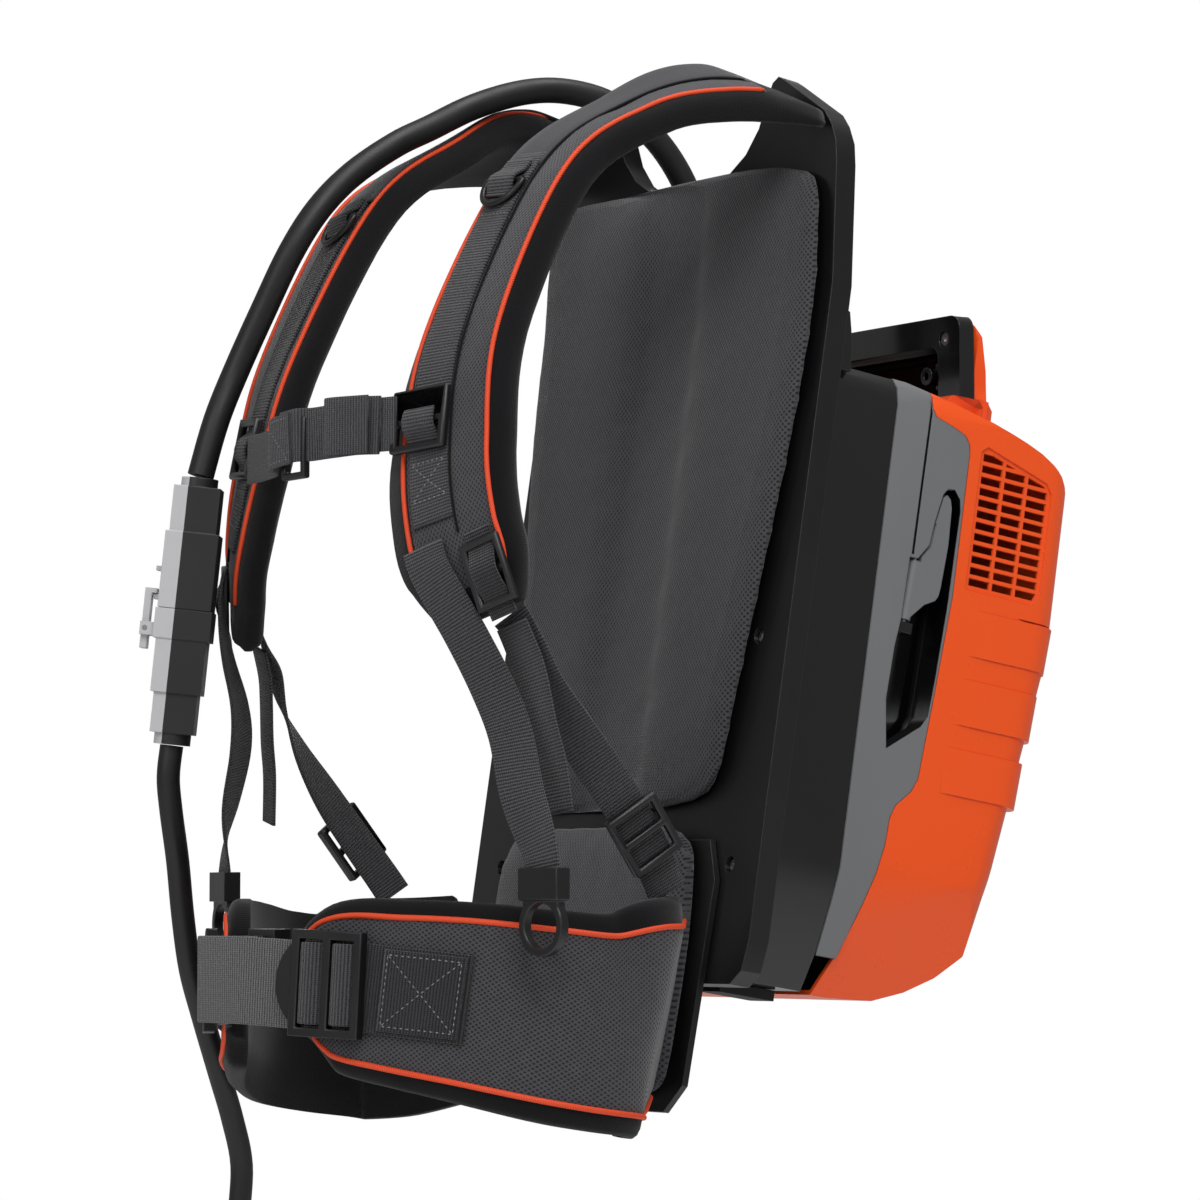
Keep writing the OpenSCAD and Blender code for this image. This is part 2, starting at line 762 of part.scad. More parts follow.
module control_board() {
    color("#1f6b3a") pack_frame() {
        translate([-105, board_y, 142]) cube([210, 2, 150]);
        for (x = [-90, -30, 30]) translate([x, 113.9, 150]) cube([44, 16, 34]);
        translate([-90, 113.9, 200]) cube([180, 5, 80]);
        for (i = [0 : 9]) translate([-90 + 19.6 * i, 118.5, 200]) cube([3.6, 22, 80]);
    }
}

// ---------------------------------------------------------------- shoulder straps

// A pad is a strip between two edge curves, its middle surface. Along runs down the strip,
// side runs across it from the first edge to the second, and up stands out from its face.
function edge_mid(e, s) = (on_curve(e[0], s) + on_curve(e[1], s)) / 2;
function edge_last(e) = len(e[0]) - 1;
function strip_along(e, s) = unit(edge_mid(e, min(s + 0.1, edge_last(e))) - edge_mid(e, max(s - 0.1, 0)));
function strip_up(e, s) = unit(cross(strip_along(e, s), on_curve(e[1], s) - on_curve(e[0], s)));
function strip_side(e, s) = cross(strip_up(e, s), strip_along(e, s));
function strip_half(e, s) = norm(on_curve(e[1], s) - on_curve(e[0], s)) / 2;
function strip_point(e, s, across, up) =
    edge_mid(e, s) + strip_side(e, s) * across + strip_up(e, s) * up;

// Left shoulder pad: neck edge and arm edge, from the plate over the shoulder to the chest
pad_edges = [
    [[100, 72.5, 484], [83, 11, 490], [75, -33, 468], [71, -94, 426], [69, -150, 330], [74, -172, 258],
        [88, -178, 204], [100, -174, 179], [118, -166, 158]],
    [[154, 74.5, 467], [153, 5, 464], [148, -49, 450], [142, -94, 416], [145, -138, 327], [152, -149, 262],
        [157, -149, 226], [160, -145, 204], [158, -143, 172]]
];
pad_last = edge_last(pad_edges);
pad_steps = 2;
// Cushion section: the face is crowned between the piped edges, the body side is flat
pad_section = [
    [-0.9, -1], [-1, -0.5], [-1, 0.3], [-0.86, 1], [-0.45, 1.12], [0.3, 1.12], [0.78, 1], [0.96, 0.4],
    [1, -0.5], [0.9, -1]
];

// Point over the shoulder pad: across from its middle line towards the arm, up from its middle surface
function pad_point(s, across, up) = strip_point(pad_edges, s, across, up);
function pad_along(s) = strip_along(pad_edges, s);
function pad_side(s) = strip_side(pad_edges, s);
function pad_up(s) = strip_up(pad_edges, s);

module cushion(edges, section, t, steps) {
    n = edge_last(edges) * steps;
    skin([for (i = [0 : n])
        let(s = i / steps, w = strip_half(edges, s))
        [for (k = [len(section) - 1 : -1 : 0])
            strip_point(edges, s, section[k][0] * w, section[k][1] * t / 2)]]);
}

module shoulder_pad() {
    cushion(pad_edges, pad_section, pad_t, pad_steps);
}

module shoulder_pad_left() {
    color(black) shoulder_pad();
}

module shoulder_pad_right() {
    color(black) mirror([1, 0, 0]) shoulder_pad();
}

// Webbing that runs down the pad, and the flat end that hangs off the pad's tip
webbing_across = -14;
webbing_up = pad_t / 2 * 1.12 + soft_gap + 0.3 + webbing_t / 2;
module shoulder_webbing() {
    n = pad_last * pad_steps;
    stations = [for (i = [0 : n - 4]) i / pad_steps];
    ribbon([for (s = stations) pad_point(s, webbing_across, webbing_up)],
        [for (s = stations) pad_side(s)], pad_webbing_w, webbing_t);
    // loop that holds the D-ring's bar: distance along the strap and height over its webbing
    loop = [[-16, webbing_t + 0.1], [-9, webbing_t + 0.8], [-4.5, 4.9], [0, 6.6], [4.5, 4.9],
        [8, webbing_t + 0.9], [10.5, webbing_t + 0.1]];
    ribbon([for (p = loop) pad_point(ring_station, webbing_across, webbing_up + p[1])
        + pad_along(ring_station) * p[0]], [for (p = loop) pad_side(ring_station)], 18, webbing_t);
}

module shoulder_webbing_left() {
    color(webbing_grey) shoulder_webbing();
}

module shoulder_webbing_right() {
    color(webbing_grey) mirror([1, 0, 0]) shoulder_webbing();
}

// D-ring: a straight bar in the webbing's loop and a bow that hangs from it
ring_station = 3.15;
ring_up = webbing_up + webbing_t / 2 + ring_wire_r + soft_gap;
module d_ring() {
    bow = ring_w / 2 + ring_wire_r;
    on_axes(pad_point(ring_station, webbing_across, ring_up), pad_side(ring_station),
        pad_along(ring_station), -pad_up(ring_station)) {
        rotate([0, 90, 0]) translate([0, 0, -bow]) cylinder(r = ring_wire_r, h = 2 * bow);
        rotate_extrude(angle = 180) translate([bow, 0]) circle(r = ring_wire_r, $fn = 24);
    }
}

module d_ring_left() {
    color(black) d_ring();
}

module d_ring_right() {
    color(black) mirror([1, 0, 0]) d_ring();
}

// ---------------------------------------------------------------- sternum strap

slider_station = 4.75;
slider_w = 42;
slider_h = 37;
slider_t = 5;
module slider_plate(w, h, t, bar) {
    difference() {
        translate([-w / 2, -h / 2, 0]) cube([w, h, t]);
        for (side = [-1, 1]) translate([-w / 2 + bar, side > 0 ? bar / 2 : -h / 2 + bar, -1])
            cube([w - 2 * bar, h / 2 - 1.5 * bar, t + 2]);
    }
}

module sternum_slider() {
    on_axes(pad_point(slider_station, webbing_across, webbing_up + webbing_t / 2 + 2 * soft_gap),
        -pad_side(slider_station), pad_along(slider_station), pad_up(slider_station))
        slider_plate(slider_w, slider_h, slider_t, 4.5);
}

module sternum_slider_left() {
    color(black) sternum_slider();
}

module sternum_slider_right() {
    color(black) mirror([1, 0, 0]) sternum_slider();
}

sternum_left = [[81.7, -185.5, 272], [56, -192, 270], [32, -197, 267], [4, -199, 264]];
sternum_right = [[-80.6, -185.8, 270], [-56, -193, 265], [-34, -198, 261], [-9.3, -202.4, 259]];
module sternum_strap_left() {
    color(webbing_grey) ribbon(sternum_left, [for (p = sternum_left) [0, 0, 1]], strap_w, webbing_t);
}

module sternum_strap_right() {
    color(webbing_grey) ribbon(sternum_right, [for (p = sternum_right) [0, 0, 1]], strap_w, webbing_t);
}

module sternum_hook() {
    color(black) translate([-8, -205.3, 249]) difference() {
        cube([26, 5, 36]);
        translate([4, -1, 4]) cube([18, 7, 12]);
        translate([4, -1, 20]) cube([18, 7, 12]);
    }
}

// ---------------------------------------------------------------- lower straps and their tails

lower_path = [
    [141.5, -142, 165.6], [147, -132, 149], [152, -123, 125], [157, -107, 98], [160, -86, 70], [159, -66, 44],
    [155, -51, 23], [151.5, -42.9, 10.1]
];
// Directions out of the strap's face: it starts flat to the pad and twists to lie flat at the hip
lower_face = [
    [0.3, -0.9, 0], [0.1, -1, 0], [0.3, -1, 0], [0.7, -0.8, 0], [0.95, -0.5, 0.1], [1, -0.4, 0.2],
    [1, -0.3, 0.2], [1, -0.3, 0.3]
];
module lower_strap() {
    n = (len(lower_path) - 1) * 2;
    ribbon([for (i = [0 : n]) on_curve(lower_path, i / 2)],
        [for (i = [0 : n]) cross(lower_out(i / 2), lower_along(i / 2))], strap_w, webbing_t);
}

module lower_strap_left() {
    color(webbing_grey) lower_strap();
}

module lower_strap_right() {
    color(webbing_grey) mirror([1, 0, 0]) lower_strap();
}

// Frame of axes on the lower strap at parameter s: along it, across it and out from it
function lower_along(s) =
    unit(on_curve(lower_path, min(s + 0.1, len(lower_path) - 1)) - on_curve(lower_path, max(s - 0.1, 0)));
function lower_out(s) = let(o = on_curve(lower_face, s), a = lower_along(s)) unit(o - (o * a) * a);

module ladder_on_strap(s, w, h, t) {
    out = lower_out(s);
    along = lower_along(s);
    on_axes(on_curve(lower_path, s) + out * (webbing_t / 2 + soft_gap), cross(along, out), along, out)
        slider_plate(w, h, t, 4);
}

adjuster_station = 7.3;
module strap_adjuster() {
    on_axes(pad_point(adjuster_station, 16, webbing_up - 0.5),
        -pad_side(adjuster_station), pad_along(adjuster_station), pad_up(adjuster_station))
        slider_plate(26, 40, 4, 4);
}

module strap_adjuster_left() {
    color(black) strap_adjuster();
}

module strap_adjuster_right() {
    color(black) mirror([1, 0, 0]) strap_adjuster();
}

module ladder_lock_left() {
    color(black) ladder_on_strap(5, 34, 38, 6);
}

module ladder_lock_right() {
    color(black) mirror([1, 0, 0]) ladder_on_strap(5, 34, 38, 6);
}

// Free end of the shoulder strap: from its fold on the pad down to the pull ring, and the shorter
// loop behind it
tail_path = [
    [115.5, -183.5, 203], [121.5, -182.5, 190], [130.5, -176.5, 172], [138.5, -168, 152], [146, -156, 124],
    [155, -150, 98], [167, -150, 65], [179, -146.8, 36], [182.5, -145.5, 18]
];
tail_across = [
    [0.86, 0.5, 0], [0.85, 0.52, 0], [0.8, 0.6, 0], [0.72, 0.69, 0], [0.62, 0.78, 0], [0.55, 0.84, 0],
    [0.65, 0.76, 0], [0.93, 0.37, 0], [0.98, 0.2, 0]
];
loop_path = [[145, -143, 160], [148.5, -137, 143], [152, -134, 128], [156, -131, 104], [160, -127, 82],
    [164, -125, 54]];
module strap_tail() {
    n = (len(tail_path) - 1) * 2;
    ribbon([for (i = [0 : n]) on_curve(tail_path, i / 2)], [for (i = [0 : n]) on_curve(tail_across, i / 2)],
        strap_w, webbing_t);
    ribbon(loop_path, [for (p = loop_path) [0.97, 0.24, 0]], strap_w, webbing_t);
}

module strap_tail_left() {
    color(webbing_grey) strap_tail();
}

module strap_tail_right() {
    color(webbing_grey) mirror([1, 0, 0]) strap_tail();
}

pull_ring_r = 17;
pull_ring_t = 6;
module pull_ring() {
    top = tail_path[len(tail_path) - 1];
    on_axes(top + [0, 0, 4], unit([0.98, 0.2, 0]), unit([-0.2, 0.98, 0]), [0, 0, 1])
        translate([0, -pull_ring_t / 2, 0]) difference() {
            union() {
                translate([-15.6, -2.2, -16]) cube([31.2, pull_ring_t + 4.4, 18]);
                translate([0, 0, -30]) rotate([-90, 0, 0]) cylinder(r = pull_ring_r, h = pull_ring_t);
                translate([-14, 0, -30]) cube([28, pull_ring_t, 22]);
            }
            translate([0, -1, -30]) rotate([-90, 0, 0]) cylinder(r = 12.5, h = pull_ring_t + 2);
            // slot for the webbing
            translate([-strap_w / 2 - 1.7, -0.9, -10]) cube([strap_w + 3.4, pull_ring_t + 1.8, 14]);
        }
}

module pull_ring_left() {
    color(black) pull_ring();
}

module pull_ring_right() {
    color(black) mirror([1, 0, 0]) pull_ring();
}

// ---------------------------------------------------------------- hip belt

// Left hip pad: upper edge and lower edge, from the lumbar pad round the hip to the front
hip_edges = [
    [[109, -7, 9], [140, -29, 7], [162, -46, 5], [168, -76, -3], [160, -113, 0], [130, -151, 5],
        [95, -182, 7], [60, -203, 6], [40, -214, -14]],
    [[103, -33, -117], [131, -57, -126], [157, -80, -127], [165, -106, -122], [157, -138, -116],
        [128, -166, -107], [95, -187, -99], [60, -205, -90], [40, -214, -74]]
];
hip_steps = 2;
hip_section = [[-1, -1], [-1, 0.2], [-0.87, 1], [0, 1.15], [0.87, 1], [1, 0.2], [1, -1]];

// Point over the hip pad: down its face from the middle line, out from its middle surface
function hip_point(s, down, out) = strip_point(hip_edges, s, down, out);
function hip_along(s) = strip_along(hip_edges, s);
function hip_down(s) = strip_side(hip_edges, s);
function hip_out(s) = strip_up(hip_edges, s);

module hip_pad() {
    cushion(hip_edges, hip_section, hip_t, hip_steps);
}

module hip_pad_left() {
    color(fabric) hip_pad();
}

module hip_pad_right() {
    color(fabric) mirror([1, 0, 0]) hip_pad();
}

hip_web_out = hip_t / 2 * 1.15 + soft_gap + 0.4 + webbing_t / 2;
hip_web_down = -1;
// Webbing from the hip pad's stitched patch forwards, and how it goes on in front of the belly
module hip_webbing(front) {
    stations = [for (i = [0 : 4]) 5 + 0.5 * i];
    ribbon(concat([for (s = stations) hip_point(s, hip_web_down, hip_web_out)], front),
        concat([for (s = stations) hip_down(s)], [for (p = front) [0, 0, -1]]), hip_webbing_w, webbing_t);
}

// The left webbing runs across the buckle, folds back and ends on the socket's bar
hip_front_left = [
    [46, -223.5, -41], [26, -231, -40], [4, -238, -39], [-18, -240.5, -39], [-34, -240.5, -39],
    [-40, -239.8, -39], [-42, -238, -39], [-40, -236.4, -39], [-34, -235.8, -39], [-12, -235, -39],
    [14, -232, -39]
];
hip_front_right = [[46, -223.5, -41], [30, -227.6, -40], [17, -228.4, -39]];
module hip_webbing_left() {
    color(webbing_grey) hip_webbing(hip_front_left);
}

module hip_webbing_right() {
    color(webbing_grey) mirror([1, 0, 0]) hip_webbing(hip_front_right);
}

module hip_adjuster() {
    s = 6.95;
    on_axes(hip_point(s, hip_web_down, hip_web_out + webbing_t / 2 + soft_gap + 1), hip_along(s), hip_down(s),
        hip_out(s)) {
        rotate(90) slider_plate(60, 46, 7, 5);
        // curved tab that is lifted to let the webbing slip
        translate([0, 0, 1.5]) difference() {
            translate([3.5, 0, 0]) cylinder(r = 30, h = 4, $fn = 72);
            translate([-50, -40, -1]) cube([72, 80, 6]);
        }
    }
}

module hip_adjuster_left() {
    color(black) hip_adjuster();
}

module hip_adjuster_right() {
    color(black) mirror([1, 0, 0]) hip_adjuster();
}

module hip_buckle_socket() {
    color(black) {
        translate([-4.7, -227, -56]) cube([30, 11, 46]);
        // bar that the webbing is sewn round
        translate([2, -230.6, -64]) cube([10, 4, 50]);
    }
}

module hip_buckle_plug() {
    color(black) {
        translate([-28, -226.6, -54]) cube([23, 10, 40]);
    }
}

// ---------------------------------------------------------------- lead

power_path = [
    [-74, 131.5, 319], [-74, 136, 346], [-73, 139, 376], [-72, 138, 406], [-71, 131, 436], [-70, 117, 464],
    [-71, 96, 488], [-74, 68, 505], [-78, 38, 511], [-80, 7.3, 508], [-80.6, -28.2, 496],
    [-79.4, -61.9, 479], [-77.4, -87.7, 466], [-75.4, -118.9, 445], [-74.2, -142.7, 422],
    [-79, -159, 395], [-92.5, -170, 361], [-105, -181.5, 325], [-108, -193.5, 294],
    [-111, -202.5, 260]
];
coupling_top = power_path[len(power_path) - 1];
coupling_bottom = [-123, -214.5, 99];
coupling_axis = unit(coupling_top - coupling_bottom);
tool_path = [
    [-123, -214.5, 98.8], [-124.4, -215.9, 80], [-128, -212, 60], [-138, -202, 30], [-146, -194, -3],
    [-155, -184, -35], [-165, -170.5, -62], [-178, -151.5, -98], [-187, -137, -127], [-193, -127, -156],
    [-196, -127, -190], [-197, -125, -220], [-197, -125, -250]
];

module power_cord() {
    n = (len(power_path) - 1) * 2;
    color(black) cord([for (i = [0 : n]) on_curve(power_path, i / 2)], power_cord_d, 10);
}

module tool_cord() {
    n = len(tool_path) - 1;
    color(black) cord([for (i = [0 : n]) tool_path[i]], tool_cord_d, 10);
}

module along_coupling() {
    across = unit(cross(coupling_axis, [0.839, -0.545, 0]));
    on_axes(coupling_bottom, cross(across, coupling_axis), across, coupling_axis) children();
}

coupling_len = norm(coupling_top - coupling_bottom);
coupling_mid = coupling_len / 2;
// Axis of the latch's pin, sideways from the coupling's axis and up from its lower end
latch_y = -22.6;
latch_z = coupling_mid - 13;

// Upper half, on the lead from the pack, with the peg that the latch hooks over
module coupling_socket() {
    color("#2b2d30") along_coupling() difference() {
        union() {
            translate([-15, -16, coupling_mid + 0.3]) cube([30, 32, 46]);
            translate([-13, -14, coupling_mid + 46]) cube([26, 28, coupling_mid - 53]);
            translate([0, 0, coupling_len - 8]) cylinder(r = 11, h = 6.7);
            translate([-5, -20, coupling_mid + 5]) cube([10, 5, 3]);
            translate([-5, -20, coupling_mid + 22]) cube([10, 5, 3]);
        }
        translate([0, 0, coupling_mid]) cylinder(r = 10.3, h = 20);
    }
}

// Lower half, on the tool's lead: a spigot inside the upper half and ears for the latch
module coupling_plug() {
    color("#2b2d30") along_coupling() difference() {
        union() {
            translate([-15, -17, coupling_mid - 18]) cube([30, 34, 18]);
            translate([-14, -15, coupling_mid - 50]) cube([28, 30, 34]);
            translate([-12, -13, 7]) cube([24, 26, coupling_mid - 56]);
            translate([0, 0, 0.3]) cylinder(r = 11, h = 7);
            translate([0, 0, coupling_mid - 1]) cylinder(r = 10, h = 20);
            for (x = [-10.5, 7.5]) translate([x, latch_y - 3, latch_z - 4]) cube([3, 9, 8]);
        }
        translate([-12, latch_y, latch_z]) rotate([0, 90, 0]) cylinder(r = 1.5 + pin_clearance, h = 24);
    }
}

module coupling_latch() {
    color(black) along_coupling() difference() {
        union() {
            translate([-7, latch_y - 2.4, latch_z - 12]) cube([14, 4.2, 36]);
            translate([-7, latch_y, latch_z]) rotate([0, 90, 0]) cylinder(r = 3.2, h = 14);
            // hook over the peg
            translate([-7, latch_y - 2.4, latch_z + 21.4]) cube([14, 7.4, 3]);
        }
        translate([-12, latch_y, latch_z]) rotate([0, 90, 0]) cylinder(r = 1.5 + pin_clearance, h = 24);
    }
}

module latch_pin() {
    color(steel) along_coupling() translate([-10.5, latch_y, latch_z]) rotate([0, 90, 0])
        cylinder(r = 1.5, h = 21);
}

module tool_adapter() {
    end = tool_path[len(tool_path) - 1];
    color(black) translate(end) {
        translate([0, 0, -14]) cylinder(r1 = 13, r2 = 9, h = 14 - 0.3);
        translate([-20, -36, -86]) cube([40, 72, 72]);
    }
}

module cord_gland() {
    color(black) pack_frame() translate([-74, 80, top_z + 0.05]) {
        cylinder(r = 15, h = 3);
        difference() {
            cylinder(r = 12, h = 12);
            translate([0, 0, 3]) cylinder(r = power_cord_d / 2 + 1.4, h = 12);
        }
    }
}

// ---------------------------------------------------------------- selection

back_plate();
back_pad();
lumbar_plate();
lumbar_pad();
front_cover();
side_frame_left();
side_frame_right();
recess_tray_left();
recess_tray_right();
rear_cover();
handle_grip();
hand_pocket();
release_lever_left();
release_lever_right();
lever_pins();
housing_screws();
base_feet();
cells();
cell_holders();
control_board();
cord_gland();
shoulder_pad_left();
shoulder_pad_right();
shoulder_webbing_left();
shoulder_webbing_right();
d_ring_left();
d_ring_right();
sternum_slider_left();
sternum_slider_right();
sternum_strap_left();
sternum_strap_right();
sternum_hook();
strap_adjuster_left();
strap_adjuster_right();
lower_strap_left();
lower_strap_right();
ladder_lock_left();
ladder_lock_right();
strap_tail_left();
strap_tail_right();
pull_ring_left();
pull_ring_right();
hip_pad_left();
hip_pad_right();
hip_webbing_left();
hip_webbing_right();
hip_adjuster_left();
hip_adjuster_right();
hip_buckle_socket();
hip_buckle_plug();
power_cord();
coupling_socket();
coupling_plug();
coupling_latch();
latch_pin();
tool_cord();
tool_adapter();
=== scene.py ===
"""Looks of the backpack battery power unit, section by section as it is put together."""
import math

import bmesh
import bpy
import numpy as np
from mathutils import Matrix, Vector, noise


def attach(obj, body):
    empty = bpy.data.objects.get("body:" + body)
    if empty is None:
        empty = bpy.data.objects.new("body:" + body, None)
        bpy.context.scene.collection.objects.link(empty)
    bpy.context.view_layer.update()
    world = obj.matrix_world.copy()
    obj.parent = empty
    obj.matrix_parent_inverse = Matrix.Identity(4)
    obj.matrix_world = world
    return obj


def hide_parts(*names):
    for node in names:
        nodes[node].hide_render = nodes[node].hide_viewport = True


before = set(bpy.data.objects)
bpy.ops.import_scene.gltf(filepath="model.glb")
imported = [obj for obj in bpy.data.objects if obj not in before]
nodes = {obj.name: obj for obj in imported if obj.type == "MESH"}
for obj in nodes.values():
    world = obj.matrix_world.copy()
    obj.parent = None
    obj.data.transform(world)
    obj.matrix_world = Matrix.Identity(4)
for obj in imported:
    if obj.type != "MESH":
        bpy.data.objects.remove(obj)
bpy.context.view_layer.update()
bpy.ops.object.select_all(action="DESELECT")

# ------------------------------------------------------------ camera and studio
# The pack is looked at from 57 degrees round on the wearer's left, from 2.8 m, with a long lens.
# A pale floor stands 1 m below the belt, as it would under a wearer, with soft lamps around.
VIEW_PLACE = math.radians(57)
VIEW_TURN = math.radians(56.815)
VIEW_TILT = math.radians(90 + 3.82)
VIEW_DISTANCE = 2.8
FOCAL_LENGTH = 139.9
FLOOR_Z = -1.0
TO_VIEW = (0.839, -0.545, 0)
# The wearer's two sides, each with its sign along X
SIDES = (("left", 1), ("right", -1))
scene = bpy.context.scene
lens = bpy.data.cameras.new("camera")
lens.sensor_width = 36
lens.lens = FOCAL_LENGTH
camera = bpy.data.objects.new("camera", lens)
camera.location = (VIEW_DISTANCE * math.sin(VIEW_PLACE), -VIEW_DISTANCE * math.cos(VIEW_PLACE), 0)
camera.rotation_euler = (VIEW_TILT, 0, VIEW_TURN)
scene.collection.objects.link(camera)
scene.camera = camera
scene.view_settings.view_transform = "Standard"


def lin(hexa):
    """Linear colour of an sRGB hex value."""
    rgb = [int(hexa[i:i + 2], 16) / 255 for i in (1, 3, 5)]
    return [c / 12.92 if c < 0.04045 else ((c + 0.055) / 1.055) ** 2.4 for c in rgb] + [1.0]


def add_node(tree, kind, values=(), links=(), **settings):
    """Adds a node, sets its properties and sockets, and links its inputs."""
    node = tree.nodes.new(kind)
    for name, value in settings.items():
        setattr(node, name, value)
    for name, value in dict(values).items():
        node.inputs[name].default_value = value
    for name, socket in dict(links).items():
        tree.links.new(socket, node.inputs[name])
    return node


world = bpy.data.worlds.new("studio")
scene.world = world
world.use_nodes = True
sky = world.node_tree
ray = add_node(sky, "ShaderNodeLightPath")
seen = add_node(sky, "ShaderNodeMath", operation="MAXIMUM",
                links={0: ray.outputs["Is Camera Ray"], 1: ray.outputs["Is Transmission Ray"]})
bright = add_node(sky, "ShaderNodeMapRange", {"To Min": 0.3, "To Max": 1.0}, {"Value": seen.outputs[0]})
sky.nodes["Background"].inputs["Color"].default_value = (1, 1, 1, 1)
sky.links.new(bright.outputs[0], sky.nodes["Background"].inputs["Strength"])

bpy.ops.mesh.primitive_circle_add(vertices=96, radius=9, fill_type="NGON", location=(0, 0, FLOOR_Z))
floor = bpy.context.object
floor.name = "floor"
floor_paint = bpy.data.materials.new("painted_studio_floor")
floor_paint.use_nodes = True
floor_tree = floor_paint.node_tree
floor_shader = floor_tree.nodes["Principled BSDF"]
floor_shader.inputs["Base Color"].default_value = lin("#f4f4f4")
floor_shader.inputs["Roughness"].default_value = 0.9
floor_ray = add_node(floor_tree, "ShaderNodeLightPath")
floor_glow = add_node(floor_tree, "ShaderNodeEmission", {"Color": (1, 1, 1, 1), "Strength": 1.0})
floor_mix = add_node(floor_tree, "ShaderNodeMixShader",
                     links={1: floor_shader.outputs[0], 2: floor_glow.outputs[0]})
floor_part = add_node(floor_tree, "ShaderNodeMath", {1: 0.7}, {0: floor_ray.outputs["Is Camera Ray"]},
                      operation="MULTIPLY")
floor_tree.links.new(floor_part.outputs[0], floor_mix.inputs[0])
floor_tree.links.new(floor_mix.outputs[0], floor_tree.nodes["Material Output"].inputs["Surface"])
floor.data.materials.append(floor_paint)

# name, place, aim, width and height in metres, watts: a large softbox on the left, one to the front,
# one above, and a weak one behind the right shoulder
for lamp_name, place, aim, width, height, watts in [
        ("side", (2.3, -0.9, 2.3), (0.1, 0.1, 0.1), 1.5, 1.5, 52),
        ("front", (1.0, -3.0, 1.2), (0, -0.1, 0.1), 1.6, 1.6, 24),
        ("top", (0.4, 0.5, 2.7), (0, 0.05, 0.2), 1.4, 1.4, 30),
        ("back", (-2.45, 1.6, 0.95), (0, 0.1, 0.25), 1.2, 1.2, 20)]:
    lamp = bpy.data.lights.new(lamp_name, "AREA")
    lamp.shape = "RECTANGLE"
    lamp.size, lamp.size_y = width, height
    lamp.energy = watts
    holder = bpy.data.objects.new(lamp_name, lamp)
    holder.location = place
    holder.rotation_euler = (Vector(aim) - Vector(place)).to_track_quat("-Z", "Y").to_euler()
    scene.collection.objects.link(holder)

# ------------------------------------------------------------ lead
# Two rubber-covered leads: 16 mm from the gland on the housing to the coupling, and 14 mm from the
# coupling to the hand-held tool. They hang under their own weight, and the coupling is moulded ABS.
POWER_CORD_D = 0.016
TOOL_CORD_D = 0.014
# Middle lines of the leads in millimetres
POWER_PATH = [
    (-74, 131.5, 319), (-74, 136, 346), (-73, 139, 376), (-72, 138, 406), (-71, 131, 436), (-70, 117, 464),
    (-71, 96, 488), (-74, 68, 505), (-78, 38, 511), (-80, 7.3, 508), (-80.6, -28.2, 496), (-79.4, -61.9, 479),
    (-77.4, -87.7, 466), (-75.4, -118.9, 445), (-74.2, -142.7, 422), (-79, -159, 395), (-92.5, -170, 361),
    (-105, -181.5, 325), (-108, -193.5, 294), (-111, -202.5, 260)]
TOOL_PATH = [
    (-123, -214.5, 98.8), (-124.4, -215.9, 80), (-128, -212, 60), (-138, -202, 30), (-146, -194, -3),
    (-155, -184, -35), (-165, -170.5, -62), (-178, -151.5, -98), (-187, -137, -127), (-193, -127, -156),
    (-196, -127, -190), (-197, -125, -220), (-197, -125, -250)]


def on_curve(points, s):
    """Point of a smooth curve through the points, at parameter s from 0 to their number less 1."""
    p = np.asarray(points, float)
    i = min(int(math.floor(s)), len(p) - 2)
    t = s - i
    a, b, c, d = p[max(i - 1, 0)], p[i], p[i + 1], p[min(i + 2, len(p) - 1)]
    return 0.5 * (2 * b + (c - a) * t + (2 * a - 5 * b + 4 * c - d) * t * t
                  + (3 * b - 3 * c + d - a) * t ** 3)


def smooth_path(points, per=6):
    """Points along the smooth curve, so many to a stretch between two given points."""
    last = len(points) - 1
    return np.array([on_curve(points, min(k / per, last)) for k in range(last * per + 1)])


def new_material(name, colour, rough, metallic=0.0):
    """A material with its base values on the shader's own sockets."""
    made = bpy.data.materials.new(name)
    made.use_nodes = True
    shader = made.node_tree.nodes["Principled BSDF"]
    shader.inputs["Base Color"].default_value = lin(colour)
    shader.inputs["Roughness"].default_value = rough
    shader.inputs["Metallic"].default_value = metallic
    return made, made.node_tree, shader


def toned(tree, shader, low, high, factor):
    """Blends the base colour from one hex value to another."""
    tone = add_node(tree, "ShaderNodeMix", {6: lin(low), 7: lin(high)}, {0: factor}, data_type="RGBA")
    tree.links.new(tone.outputs[2], shader.inputs["Base Color"])


def bumped(tree, shader, strength, depth, height, invert=False):
    """Makes a height show as fine relief, so many metres deep."""
    bump = add_node(tree, "ShaderNodeBump", {"Strength": strength, "Distance": depth}, {"Height": height},
                    invert=invert)
    tree.links.new(bump.outputs[0], shader.inputs["Normal"])


# Breadth of the faint patches in the gloss of moulded plastic
FLOW_MM = 45


